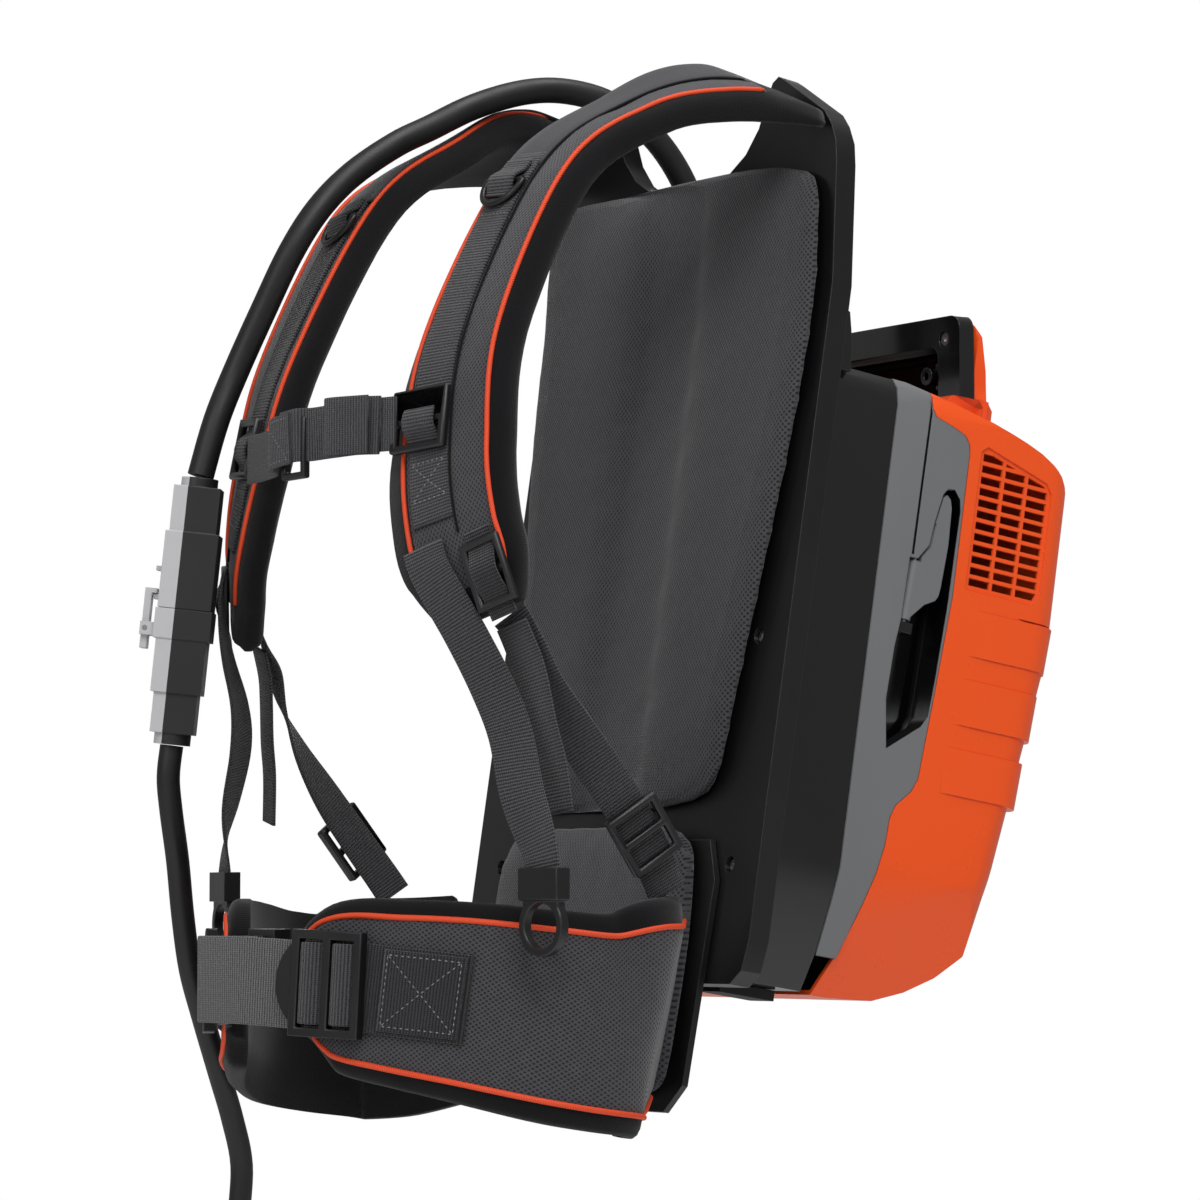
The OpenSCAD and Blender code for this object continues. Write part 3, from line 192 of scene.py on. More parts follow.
def moulded(name, colour, painted_edge_tone, rough, grain_mm, grain_depth_mm, edge_mm=0.8, coat=0.0, shine=0.5):
    """Injection-moulded plastic: a fine grain, a faint flow in its gloss, and its edges in a second tone:
    a painted highlight where that tone is paler, and painted shade along edges and seams where it is darker."""
    made, tree, shader = new_material(name, colour, rough)
    place = add_node(tree, "ShaderNodeTexCoord")
    grain = add_node(tree, "ShaderNodeTexNoise", {"Scale": 1000 / grain_mm, "Detail": 2.0},
                     {"Vector": place.outputs["Object"]})
    flow = add_node(tree, "ShaderNodeTexNoise", {"Scale": 1000 / FLOW_MM, "Detail": 3.0},
                    {"Vector": place.outputs["Object"]})
    soft_edge = add_node(tree, "ShaderNodeBevel", {"Radius": edge_mm / 1000}, samples=4)
    bump = add_node(tree, "ShaderNodeBump", {"Strength": 0.5, "Distance": grain_depth_mm / 1000},
                    {"Height": grain.outputs[0], "Normal": soft_edge.outputs[0]})
    tree.links.new(bump.outputs[0], shader.inputs["Normal"])
    gloss = add_node(tree, "ShaderNodeMapRange", {
        "From Min": 0.3, "From Max": 0.7, "To Min": max(rough - 0.05, 0.03), "To Max": rough + 0.07},
        {"Value": flow.outputs[0]})
    tree.links.new(gloss.outputs[0], shader.inputs["Roughness"])
    shape = add_node(tree, "ShaderNodeNewGeometry")
    flat = add_node(tree, "ShaderNodeVectorMath", operation="DOT_PRODUCT",
                    links={0: soft_edge.outputs[0], 1: shape.outputs["True Normal"]})
    # The edges take the second tone as painted light: a painted highlight when paler, painted shade when
    # darker
    painted_edge_mask = add_node(tree, "ShaderNodeMapRange", {"From Min": 0.995, "From Max": 0.8, "To Min": 0.0,
                                                   "To Max": 0.7}, {"Value": flat.outputs["Value"]})
    toned(tree, shader, colour, painted_edge_tone, painted_edge_mask.outputs[0])
    shader.inputs["Coat Weight"].default_value = coat
    shader.inputs["Coat Roughness"].default_value = 0.08
    shader.inputs["Specular IOR Level"].default_value = shine
    return made


# Rubber jacket: matt, with the drawing lines of extrusion and a little dust
cord_rubber, tree, shader = new_material("extruded_rubber", "#17171a", 0.5)
place = add_node(tree, "ShaderNodeTexCoord")
drawn = add_node(tree, "ShaderNodeTexNoise", {"Scale": 900.0, "Detail": 2.0},
                 {"Vector": place.outputs["Object"]})
dust = add_node(tree, "ShaderNodeTexNoise", {"Scale": 35.0, "Detail": 4.0},
                {"Vector": place.outputs["Object"]})
bumped(tree, shader, 0.3, 0.0003, drawn.outputs[0])
gloss = add_node(tree, "ShaderNodeMapRange", {"To Min": 0.36, "To Max": 0.62}, {"Value": dust.outputs[0]})
tree.links.new(gloss.outputs[0], shader.inputs["Roughness"])
toned(tree, shader, "#08080a", "#131315", dust.outputs[0])


def lead(name, path, diameter):
    """A round lead along a path given in millimetres, as a curve; returns it and its length."""
    line = smooth_path(path) / 1000
    data = bpy.data.curves.new(name, "CURVE")
    data.dimensions = "3D"
    data.bevel_depth = diameter / 2
    data.bevel_resolution = 8
    data.use_fill_caps = True
    spline = data.splines.new("POLY")
    spline.points.add(len(line) - 1)
    for point, at in zip(spline.points, line):
        point.co = (*at, 1)
    spline.use_smooth = True
    made = bpy.data.objects.new(name, data)
    scene.collection.objects.link(made)
    made.data.materials.append(cord_rubber)
    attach(made, "pack")
    return made, float(np.linalg.norm(np.diff(line, axis=0), axis=1).sum())


# Edges that turn by less than this are shaded smooth
SMOOTH_ANGLE = math.radians(35)


def dressed(node, surface, body="pack"):
    """A merged copy of a rigid piece, smooth over its gentle curves, that stands for its node."""
    source = nodes[node]
    made = source.copy()
    made.data = source.data.copy()
    made.name = node + "_finished"
    made.parent = None
    for key in list(made.keys()):
        del made[key]
    scene.collection.objects.link(made)
    work = bmesh.new()
    work.from_mesh(made.data)
    bmesh.ops.remove_doubles(work, verts=work.verts, dist=0.000005)
    bmesh.ops.dissolve_degenerate(work, edges=work.edges, dist=0.000002)
    for face in work.faces:
        face.smooth = True
    for edge in work.edges:
        edge.smooth = len(edge.link_faces) == 2 and edge.calc_face_angle(0) < SMOOTH_ANGLE
    work.to_mesh(made.data)
    work.free()
    made.data.materials.clear()
    made.data.materials.append(surface)
    made.hide_render = False
    made.hide_viewport = False
    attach(made, body)
    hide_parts(node)
    return made


def rounded(piece, width_mm, segments=2):
    """Rounds the outer edges of a moulded piece."""
    work = bmesh.new()
    work.from_mesh(piece.data)
    bmesh.ops.dissolve_limit(work, angle_limit=math.radians(0.6), verts=work.verts, edges=work.edges,
                             delimit={"MATERIAL"})
    work.to_mesh(piece.data)
    work.free()
    bevel = piece.modifiers.new("rounding", "BEVEL")
    bevel.width = width_mm / 1000
    bevel.segments = segments
    bevel.limit_method = "ANGLE"
    bevel.angle_limit = math.radians(55)
    return piece


power_lead, power_length = lead("power_lead", POWER_PATH, POWER_CORD_D)
tool_lead, tool_length = lead("tool_lead", TOOL_PATH, TOOL_CORD_D)
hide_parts("power_cord")
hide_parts("tool_cord")

# Their second colours are painted highlights along the edges
coupling_black = moulded("moulded_black_coupling", "#151416", "#403f42", 0.5, 0.9, 0.06)
coupling_pale = moulded("moulded_pale_coupling", "#bcbcbe", "#d8d8d8", 0.42, 0.9, 0.05)
top = Vector(POWER_PATH[-1]) / 1000
bottom = Vector(TOOL_PATH[0]) / 1000
coupling_across = (top - bottom).normalized().cross(Vector(TO_VIEW)).normalized()
# Where the coupling's black side ends, in metres across from its middle
PALE_FROM = -0.0055


def two_toned(piece, surface):
    """Cuts the piece's faces on a plane across the coupling and gives those behind it another surface."""
    piece.data.materials.append(surface)
    work = bmesh.new()
    work.from_mesh(piece.data)
    point = bottom + coupling_across * PALE_FROM
    bmesh.ops.bisect_plane(work, geom=work.verts[:] + work.edges[:] + work.faces[:], dist=0.000001,
                           plane_co=point, plane_no=coupling_across)
    for face in work.faces:
        face.material_index = 1 if (face.calc_center_median() - point).dot(coupling_across) < 0 else 0
    work.to_mesh(piece.data)
    work.free()


for node in ("coupling_socket", "coupling_plug"):
    half = dressed(node, coupling_black)
    two_toned(half, coupling_pale)
    rounded(half, 2.2)
rounded(dressed("coupling_latch", coupling_pale, "latch"), 0.8)
pin_steel, tree, shader = new_material("turned_steel", "#b9bbbe", 0.3, 1.0)
place = add_node(tree, "ShaderNodeTexCoord")
turned = add_node(tree, "ShaderNodeTexNoise", {"Scale": 2500.0}, {"Vector": place.outputs["Object"]})
bumped(tree, shader, 0.15, 0.0001, turned.outputs[0])
dressed("latch_pin", pin_steel)
adapter = dressed("tool_adapter", coupling_black)
dressed("cord_gland", coupling_black)
# The bend relief is a ribbed rubber boot pressed onto the gland, which tapers along the lead.
# Each step gives its height and the radius at its end, in millimetres.
BOOT_RADIUS = 11.2
BOOT_STEPS = [(5, 11.2), (0.6, 10.8), (1, 9.6), (2.4, 9.5), (1, 10.6), (3.2, 10.4), (1, 9.3), (2.4, 9.2),
              (1, 10.1), (3.2, 9.9), (1, 9.0), (2.4, 8.9), (1, 9.6), (4.5, 9.2), (1.2, 8.3)]
out_of_gland = (Vector(POWER_PATH[1]) - Vector(POWER_PATH[0])).normalized()
reach = Vector(POWER_PATH[0]) / 1000 - out_of_gland * 0.002
bpy.ops.mesh.primitive_circle_add(vertices=32, radius=BOOT_RADIUS / 1000, fill_type="NGON", location=reach,
                                  rotation=out_of_gland.to_track_quat("Z", "Y").to_euler())
boot = bpy.context.object
boot.name = "bend_relief"
bpy.ops.object.mode_set(mode="EDIT")
boot_radius = BOOT_RADIUS
for rise, next_radius in BOOT_STEPS:
    bpy.ops.mesh.extrude_region_move(TRANSFORM_OT_translate={"value": out_of_gland * rise / 1000})
    reach = reach + out_of_gland * rise / 1000
    k = next_radius / boot_radius
    bpy.ops.transform.resize(value=(k, k, k), center_override=reach)
    boot_radius = next_radius
bpy.ops.mesh.select_all(action="SELECT")
bpy.ops.mesh.normals_make_consistent(inside=False)
bpy.ops.object.mode_set(mode="OBJECT")
bpy.ops.object.transform_apply(location=True, rotation=True, scale=True)
bpy.ops.object.shade_smooth_by_angle(angle=SMOOTH_ANGLE)
boot.data.materials.append(cord_rubber)
boot.select_set(False)
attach(boot, "pack")

# ------------------------------------------------------------ back plate
# One stiff moulded plate of black glass-filled nylon with a rim and ribs. It carries the housing
# behind it, and the pads and straps in front of it, and its two horns reach over the shoulders.
LEAN = math.radians(9)
# Its second colour is a painted highlight along its edges
satin_black = moulded("moulded_black_nylon", "#0e0e10", "#434347", 0.36, 0.7, 0.05)
for node in ("back_plate", "lumbar_plate"):
    dressed(node, satin_black)

# ------------------------------------------------------------ housing
# Moulded ABS shells screwed to each other: a gloss black front cover, grey side frames round the
# release levers, black trays in their recesses, and the orange rear cover with its louvres.
# Second colours are painted edge light: painted shade on the orange and grey edges, a painted highlight on
# the black edges
gloss_black = moulded("moulded_gloss_black_abs", "#070709", "#2e2e33", 0.16, 3.0, 0.03, 1.0, coat=0.4)
frame_grey = moulded("moulded_grey_abs", "#707173", "#2c2c2e", 0.46, 0.6, 0.06, 0.7)
orange_abs = moulded("moulded_orange_abs", "#f4561a", "#9c2408", 0.28, 2.5, 0.03, 0.7, coat=0.08, shine=0.35)
liner_black = moulded("moulded_textured_black_abs", "#050506", "#141416", 0.65, 0.9, 0.06, shine=0.2)
shells = {}
for node, surface, slot in [
        ("front_cover", gloss_black, "gloss_black_plastic"), ("rear_cover", orange_abs, "orange_plastic"),
        ("side_frame_left", frame_grey, "grey_plastic"), ("side_frame_right", frame_grey, "grey_plastic"),
        ("recess_tray_left", gloss_black, "gloss_black_plastic"),
        ("recess_tray_right", gloss_black, "gloss_black_plastic"),
        ("handle_grip", gloss_black, "gloss_black_plastic"),
        ("hand_pocket", liner_black, "gloss_black_plastic")]:
    shells[node] = dressed(node, surface)
# Turns a point into the pack's own frame, in which the pack stands upright
upright = np.array([[1, 0, 0], [0, math.cos(LEAN), -math.sin(LEAN)], [0, math.sin(LEAN), math.cos(LEAN)]])


def repaint(piece, surface, chosen):
    """Gives another surface to the faces that the test picks, by their middle in millimetres and their
    normal, both in the pack's frame."""
    piece.data.materials.append(surface)
    for face in piece.data.polygons:
        if chosen(upright @ np.array(face.center) * 1000, upright @ np.array(face.normal)):
            face.material_index = len(piece.data.materials) - 1


def in_hand_hollow(at, out):
    """The orange cover's faces that look down or forward into the hand hollow."""
    return abs(at[0]) < 75 and 165 < at[1] < 205 and at[2] > 318 and (out[2] < -0.25 or out[1] < -0.3)


def recess_painted_shade(at, out):
    """The side frames' walls that look forward inside the lever's recess, painted black as painted shade."""
    return abs(out[0]) < 0.6 and out[1] < -0.3 and at[1] > 92


repaint(shells["rear_cover"], gloss_black, in_hand_hollow)
# Painted shade: the side frames' forward-looking walls inside the lever recesses are painted black
for word, _ in SIDES:
    repaint(shells["side_frame_" + word], gloss_black, recess_painted_shade)
rounded(shells["handle_grip"], 3.5, 3)
# The orange cover turns in below its crease, half as fast over the first 6 mm, and is cut
# at 0, 6 and 16 mm so that it can bend there. Where the handle's feet stand, its walls come in to the
# seat's width. The seat is given in millimetres in the pack's frame.
crease_point, crease_up = Vector((0.15, 0.115, 0.003)), Vector((0, -0.258, 0.966))
SOFT_DROP = 0.006
TURN_IN = 0.9
SEAT_HALF_W = 86.1
SEAT_WALL = 86.3
SEAT_LOW = 326
SEAT_DEPTH = (145, 177.9)
work = bmesh.new()
work.from_mesh(shells["rear_cover"].data)
for drop in (0.0, SOFT_DROP, 0.016):
    bmesh.ops.bisect_plane(work, geom=work.verts[:] + work.edges[:] + work.faces[:], dist=0.000001,
                           plane_co=crease_point - crease_up * drop, plane_no=crease_up)
for corner in work.verts:
    below = (crease_point - corner.co).dot(crease_up)
    if below > 0:
        corner.co.x *= 1 - TURN_IN * below * (0.5 if below < SOFT_DROP else 1)
    across, deep, high = upright @ np.array(corner.co) * 1000
    if abs(across) > SEAT_WALL and high > SEAT_LOW and SEAT_DEPTH[0] < deep < SEAT_DEPTH[1]:
        corner.co.x = math.copysign(SEAT_HALF_W / 1000, across)
work.to_mesh(shells["rear_cover"].data)
work.free()
for word, _ in SIDES:
    dressed("release_lever_" + word, frame_grey, "lever_" + word)
dressed("lever_pins", pin_steel)
dressed("housing_screws", pin_steel)
# Its second colour is a painted highlight along its edges
feet_rubber = moulded("moulded_rubber", "#161618", "#2a2a2c", 0.75, 0.8, 0.08)
dressed("base_feet", feet_rubber)

# ------------------------------------------------------------ cells and board
# Fifty steel-canned cells in shrink sleeves, held between two honeycomb plates, under a green
# glass-fibre board. The closed housing hides them.
# Their second colours are painted highlights along the edges
sleeve = moulded("shrink_sleeve", "#3f7d5a", "#5c9a76", 0.35, 2.0, 0.02)
board = moulded("glass_fibre_board", "#1f6b3a", "#3f8f5a", 0.5, 1.0, 0.03)
dressed("cells", sleeve)
dressed("cell_holders", satin_black)
dressed("control_board", board)

# ------------------------------------------------------------ padded back
# Two foam pads in spacer mesh, bonded to the plates: the tall back pad with a breathing channel
# down its middle, and the lumbar pad that the hip wings come out of.


def distance_run(points):
    """How far along a line each of its points is."""
    return np.concatenate([[0], np.cumsum(np.linalg.norm(np.diff(points, axis=0), axis=1))])


def skin(name, rings, surfaces, split=None):
    """A closed mesh over rings of points in metres. Its UV map is in metres: round the ring, and along.
    split says which of the surfaces a face takes: a list round the ring, or a function of ring and face."""
    rings = np.asarray(rings, float)
    m, n = rings.shape[:2]
    along = distance_run(rings.mean(1))
    loop = np.concatenate([rings, rings[:, :1]], axis=1)
    steps = np.linalg.norm(np.diff(loop, axis=1), axis=2)
    around = np.concatenate([np.zeros((m, 1)), np.cumsum(steps, axis=1)], axis=1)
    around = around - around.mean(1, keepdims=True)
    faces, marks, uvs = [], [], []
    for i in range(m - 1):
        for j in range(n):
            k = (j + 1) % n
            faces.append((i * n + j, i * n + k, (i + 1) * n + k, (i + 1) * n + j))
            marks.append(split(i, j) if callable(split) else split[j] if split else 0)
            uvs += [(around[i, j], along[i]), (around[i, j + 1], along[i]),
                    (around[i + 1, j + 1], along[i + 1]), (around[i + 1, j], along[i + 1])]
    for start, order in ((0, range(n - 1, -1, -1)), ((m - 1) * n, range(n))):
        faces.append([start + j for j in order])
        marks.append(split[0] if isinstance(split, list) else 0)
        uvs += [(0.001 * j, along[0 if start == 0 else -1]) for j in order]
    data = bpy.data.meshes.new(name)
    data.from_pydata(rings.reshape(-1, 3).tolist(), [], faces)
    uv = data.uv_layers.new(name="cloth")
    uv.data.foreach_set("uv", np.array(uvs, float).ravel())
    for s in surfaces:
        data.materials.append(s)
    data.polygons.foreach_set("material_index", marks)
    data.polygons.foreach_set("use_smooth", [True] * len(faces))
    data.update()
    work = bmesh.new()
    work.from_mesh(data)
    if work.calc_volume(signed=True) < 0:
        bmesh.ops.reverse_faces(work, faces=work.faces)
    work.to_mesh(data)
    work.free()
    made = bpy.data.objects.new(name, data)
    scene.collection.objects.link(made)
    return made


# At a scale of 1, the stripes of a wave texture lie this many metres apart
STRIPES = 0.314
# Spacer mesh: polyester knit with rows of tiny holes. A real hole is 0.9 mm; 2.2 mm shows here.
mesh_fabric, tree, shader = new_material("spacer_mesh", "#3a393d", 0.85)
cloth = add_node(tree, "ShaderNodeUVMap", uv_map="cloth")
hole_rows = []
for turn in (38, -38):
    turned = add_node(tree, "ShaderNodeMapping", {"Rotation": (0, 0, math.radians(turn))},
                      {"Vector": cloth.outputs[0]})
    hole_rows.append(add_node(tree, "ShaderNodeTexWave", {
        "Scale": STRIPES / 0.0022, "Distortion": 0.4, "Detail": 0.0}, {"Vector": turned.outputs[0]}))
holes = add_node(tree, "ShaderNodeMath", operation="MULTIPLY",
                 links={0: hole_rows[0].outputs["Fac"], 1: hole_rows[1].outputs["Fac"]})
lint = add_node(tree, "ShaderNodeTexNoise", {"Scale": 160.0, "Detail": 3.0}, {"Vector": cloth.outputs[0]})
mixed = add_node(tree, "ShaderNodeMath", {1: 0.35}, {0: lint.outputs[0], 2: holes.outputs[0]},
                 operation="MULTIPLY_ADD")
tone = add_node(tree, "ShaderNodeMapRange", {"From Min": 0.1, "From Max": 0.9}, {"Value": mixed.outputs[0]})
toned(tree, shader, "#4a494d", "#1b1a1d", tone.outputs[0])
bumped(tree, shader, 0.7, 0.0005, holes.outputs[0], invert=True)
shader.inputs["Sheen Weight"].default_value = 0.25
shader.inputs["Specular IOR Level"].default_value = 0.2

# Binding cloth: plain-woven black polyester over the foam's side. A thread is 0.4 mm; 1.1 mm shows.
binding, tree, shader = new_material("woven_binding", "#121214", 0.9)
cloth = add_node(tree, "ShaderNodeUVMap", uv_map="cloth")
warp = add_node(tree, "ShaderNodeTexWave", {"Scale": STRIPES / 0.0011}, {"Vector": cloth.outputs[0]})
weft = add_node(tree, "ShaderNodeTexWave", {"Scale": STRIPES / 0.0011}, {"Vector": cloth.outputs[0]},
                bands_direction="Y")
threads = add_node(tree, "ShaderNodeMath", operation="MULTIPLY",
                   links={0: warp.outputs["Fac"], 1: weft.outputs["Fac"]})
wear = add_node(tree, "ShaderNodeTexNoise", {"Scale": 22.0, "Detail": 4.0}, {"Vector": cloth.outputs[0]})
toned(tree, shader, "#050507", "#101013", wear.outputs[0])
bumped(tree, shader, 0.5, 0.0003, threads.outputs[0])
shader.inputs["Sheen Weight"].default_value = 0.15
shader.inputs["Specular IOR Level"].default_value = 0.15


def from_cad(node, surface, name):
    """A soft copy of a plain pad, rounded by subdivision, that stands for its node."""
    made = dressed(node, surface)
    made.name = name
    soften = made.modifiers.new("soften", "SUBSURF")
    soften.levels = soften.render_levels = 2
    bpy.context.view_layer.objects.active = made
    made.select_set(True)
    bpy.ops.object.modifier_apply(modifier="soften")
    made.select_set(False)
    uv = made.data.uv_layers.new(name="cloth")
    for one in made.data.loops:
        at = made.data.vertices[one.vertex_index].co
        uv.data[one.index].uv = (at.x, at.z)
    made.data.polygons.foreach_set("use_smooth", [True] * len(made.data.polygons))


from_cad("back_pad", mesh_fabric, "back_pad_cloth")
from_cad("lumbar_pad", mesh_fabric, "lumbar_pad_cloth")

# ------------------------------------------------------------ shoulder pads
# Moulded foam in spacer mesh with black binding round its sides, orange piping on both top edges,
# a dark fabric panel over the shoulder, and webbing sewn down the chest side of the seam.
PAD_T = 18
PAD_EDGES = [
    [(100, 72.5, 484), (83, 11, 490), (75, -33, 468), (71, -94, 426), (69, -150, 330), (74, -172, 258),
     (88, -178, 204), (100, -174, 179), (118, -166, 158)],
    [(154, 74.5, 467), (153, 5, 464), (148, -49, 450), (142, -94, 416), (145, -138, 327), (152, -149, 262),
     (157, -149, 226), (160, -145, 204), (158, -143, 172)]]
PIPING_R = 1.5
WEBBING_T = 1.8


def strip(edges, s):
    """Middle, side, along and up directions and half width of a strip between two edge curves."""
    last = len(edges[0]) - 1
    a, b = on_curve(edges[0], s), on_curve(edges[1], s)
    before, after = max(s - 0.1, 0), min(s + 0.1, last)
    run = (on_curve(edges[0], after) + on_curve(edges[1], after)
           - on_curve(edges[0], before) - on_curve(edges[1], before))
    along = run / np.linalg.norm(run)
    up = np.cross(along, b - a)
    up = up / np.linalg.norm(up)
    return (a + b) / 2, np.cross(up, along), along, up, np.linalg.norm(b - a) / 2


def strip_point(edges, s, across, up):
    """A point over the strip: across from its middle line, and up from its middle surface."""
    mid, side, _, out, _ = strip(edges, s)
    return mid + side * across + out * up


def flipped(points, side):
    """The points in metres, mirrored to the wearer's right when side is -1."""
    return np.asarray(points, float) / 1000 * np.array([side, 1, 1])


def cushion(name, edges, section, thick, surfaces, split, side, tip=0.4, shape=None):
    """A padded strip: its section swells over the foam, puckers at the piping and rounds at its tip.
    shape, where given, moves a point of the section at its station."""
    last = len(edges[0]) - 1
    rings = []
    for s in np.arange(0.0, last + 0.001, 0.125):
        mid, across, _, up, half = strip(edges, s)
        left = max(0.0, (s - (last - tip)) / tip)
        thin = math.sqrt(max(0.0, 1 - 0.8 * left * left))
        ring = []
        for x, y in section:
            if shape:
                x, y = shape(s, x, y)
            at = mid + across * x * half * (1 - 0.04 * left) + up * y * thick / 2 * thin
            ruffle = noise.noise(Vector(at) * 0.045) * 0.9 + noise.noise(Vector(at) * 0.15) * 0.35
            ring.append(at + up * ruffle * (1 if y > 0.5 else 0.3))
        rings.append(ring)
    return skin(name, flipped(rings, side), surfaces, split)


def piping(name, points, radius, surface, side):
    """A thin covered cord along a seam: a tube of eight sides with its own UV map."""
    line = smooth_path(points, 4)
    rings = []
    for i, at in enumerate(line):
        run = line[min(i + 1, len(line) - 1)] - line[max(i - 1, 0)]
        run = run / np.linalg.norm(run)
        u = np.cross(run, (0.3, 0.2, 1.0))
        u = u / np.linalg.norm(u)
        v = np.cross(run, u)
        r = radius * (0.35 if i in (0, len(line) - 1) else 1)
        rings.append([at + r * (math.cos(a) * u + math.sin(a) * v)
                      for a in np.linspace(0, 2 * math.pi, 9)[:-1]])
    return skin(name, flipped(rings, side), [surface])


# Orange piping: a bias-cut ribbon round a filler cord; its slanting threads show 1.2 mm apart
piping_cloth, tree, shader = new_material("orange_bias_tape", "#e9481a", 0.62)
cloth = add_node(tree, "ShaderNodeUVMap", uv_map="cloth")
slant = add_node(tree, "ShaderNodeMapping", {"Rotation": (0, 0, math.radians(52))},
                 {"Vector": cloth.outputs[0]})
rows = add_node(tree, "ShaderNodeTexWave", {"Scale": STRIPES / 0.0012}, {"Vector": slant.outputs[0]})
toned(tree, shader, "#f4501e", "#c93a12", rows.outputs["Fac"])
bumped(tree, shader, 0.4, 0.0002, rows.outputs["Fac"], invert=True)


def woven(name, low, high):
    """Polyester webbing: a rib every 1.9 mm across it, fine warp threads along it, and loose fuzz."""
    made, tree, shader = new_material(name, low, 0.8)
    cloth = add_node(tree, "ShaderNodeUVMap", uv_map="cloth")
    ribs = add_node(tree, "ShaderNodeTexWave", {
        "Scale": STRIPES / 0.0019, "Distortion": 0.8, "Detail": 1.0, "Detail Scale": 3.0},
        {"Vector": cloth.outputs[0]}, bands_direction="Y")
    ends = add_node(tree, "ShaderNodeTexWave", {"Scale": STRIPES / 0.0012}, {"Vector": cloth.outputs[0]})
    fuzz = add_node(tree, "ShaderNodeTexNoise", {"Scale": 800.0, "Detail": 3.0, "Roughness": 0.75},
                    {"Vector": cloth.outputs[0]})
    weave = add_node(tree, "ShaderNodeMath", {1: 0.45}, {0: ends.outputs["Fac"], 2: ribs.outputs["Fac"]},
                     operation="MULTIPLY_ADD")
    rough = add_node(tree, "ShaderNodeMath", {1: 1.4}, {0: fuzz.outputs[0], 2: weave.outputs[0]},
                     operation="MULTIPLY_ADD")
    tone = add_node(tree, "ShaderNodeMapRange", {"From Min": 0.75, "From Max": 2.1},
                    {"Value": rough.outputs[0]})
    toned(tree, shader, low, high, tone.outputs[0])
    bumped(tree, shader, 0.9, 0.0006, rough.outputs[0])
    shader.inputs["Sheen Weight"].default_value = 0.2
    shader.inputs["Specular IOR Level"].default_value = 0.25
    return made


webbing = woven("woven_webbing", "#0c0c0d", "#525155")
dark_webbing = woven("woven_dark_webbing", "#080809", "#37363a")
pale_webbing = woven("woven_pale_webbing", "#19191b", "#7b7a7b")

# Panel cloth: fine dark polyester; its threads are too fine to show one by one
panel_cloth, tree, shader = new_material("fine_panel_cloth", "#333236", 0.85)
cloth = add_node(tree, "ShaderNodeUVMap", uv_map="cloth")
threads = add_node(tree, "ShaderNodeTexNoise", {"Scale": 620.0, "Detail": 3.0, "Roughness": 0.8},
                   {"Vector": cloth.outputs[0]})
toned(tree, shader, "#131315", "#4d4c50", threads.outputs[0])
bumped(tree, shader, 0.5, 0.0003, threads.outputs[0])
shader.inputs["Sheen Weight"].default_value = 0.2
shader.inputs["Specular IOR Level"].default_value = 0.2

# Sewing thread: bonded polyester, a little shiny
thread, tree, shader = new_material("bonded_thread", "#8d8c8e", 0.55)
place = add_node(tree, "ShaderNodeTexCoord")
ply = add_node(tree, "ShaderNodeTexNoise", {"Scale": 2600.0}, {"Vector": place.outputs["Object"]})
toned(tree, shader, "#6e6d70", "#a9a8aa", ply.outputs[0])

# Section of a shoulder pad: across over its half width, and up over half its thickness
PAD_SECTION = [(-0.9, -1), (-0.45, -1), (0, -1), (0.45, -1), (0.9, -1), (0.98, -0.8), (1.0, -0.4),
               (0.985, 0.1), (0.94, 0.5), (0.87, 0.8), (0.79, 0.94), (0.75, 1.0), (0.62, 1.07), (0.42, 1.12),
               (0.2, 1.14), (0, 1.14), (-0.3, 1.14), (-0.6, 1.1), (-0.78, 1.02), (-0.84, 0.96), (-0.91, 0.8),
               (-0.97, 0.45), (-1, 0), (-0.985, -0.6)]
# Which of its faces are mesh cloth: round the section, and along the pad
MESH_ROUND, MESH_ALONG = range(11, 18), range(5, 59)


def settled(s):
    """How far the pad has come down onto the chest at a station: 0 over the shoulder, 1 below."""
    return min(max((s - 3.2) / 2.0, 0.0), 1.0)


def pad_shape(s, x, y):
    """The neck side turns out into a broad bound wall on the chest, and the top dips under the horn."""
    low = settled(s)
    if x < -0.7 and y > 0.7:
        x += 0.1 * low
    elif x <= -0.9 and y > -0.8:
        x -= 0.15 * low
    if s < 0.7 and y > -0.7:
        y -= 1.0 * (1 - s / 0.7) * min(1, (y + 0.7) / 1.2)
    return x, y


def pad_split(i, j):
    """Mesh cloth between the pipings, binding everywhere else and at both ends."""
    return 1 if j in MESH_ROUND and i in MESH_ALONG else 0


def ribbon_frames(path, across, per=6):
    """Middle, side and up of a strap at close steps along a path, and the distance run."""
    middle = smooth_path(path, per)
    side = smooth_path(across, per) if len(across) == len(path) else np.array([across[0]] * len(middle))
    run = np.gradient(middle, axis=0)
    run = run / np.linalg.norm(run, axis=1, keepdims=True)
    up = np.cross(run, side)
    up = up / np.linalg.norm(up, axis=1, keepdims=True)
    return middle, np.cross(up, run), up, distance_run(middle)


STRAP_SECTION = [(-1, 0), (-0.985, 0.7), (-0.95, 1), (-0.5, 1), (0, 1), (0.5, 1), (0.95, 1), (0.985, 0.7),
                 (1, 0), (0.985, -0.7), (0.95, -1), (0.5, -1), (0, -1), (-0.5, -1), (-0.95, -1),
                 (-0.985, -0.7)]


def strap(name, frames, width, thick, surface, side, cupped=0.0):
    """A flat woven strap along its frames; cupped lifts its middle a little, as slack webbing does."""
    middle, across, up, _ = frames
    rings = [[m + a * x * width / 2 + u * (y * thick / 2 + cupped * (1 - x * x)) for x, y in STRAP_SECTION]
             for m, a, u in zip(middle, across, up)]
    made = skin(name, flipped(rings, side), [surface])
    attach(made, "pack")
    return made


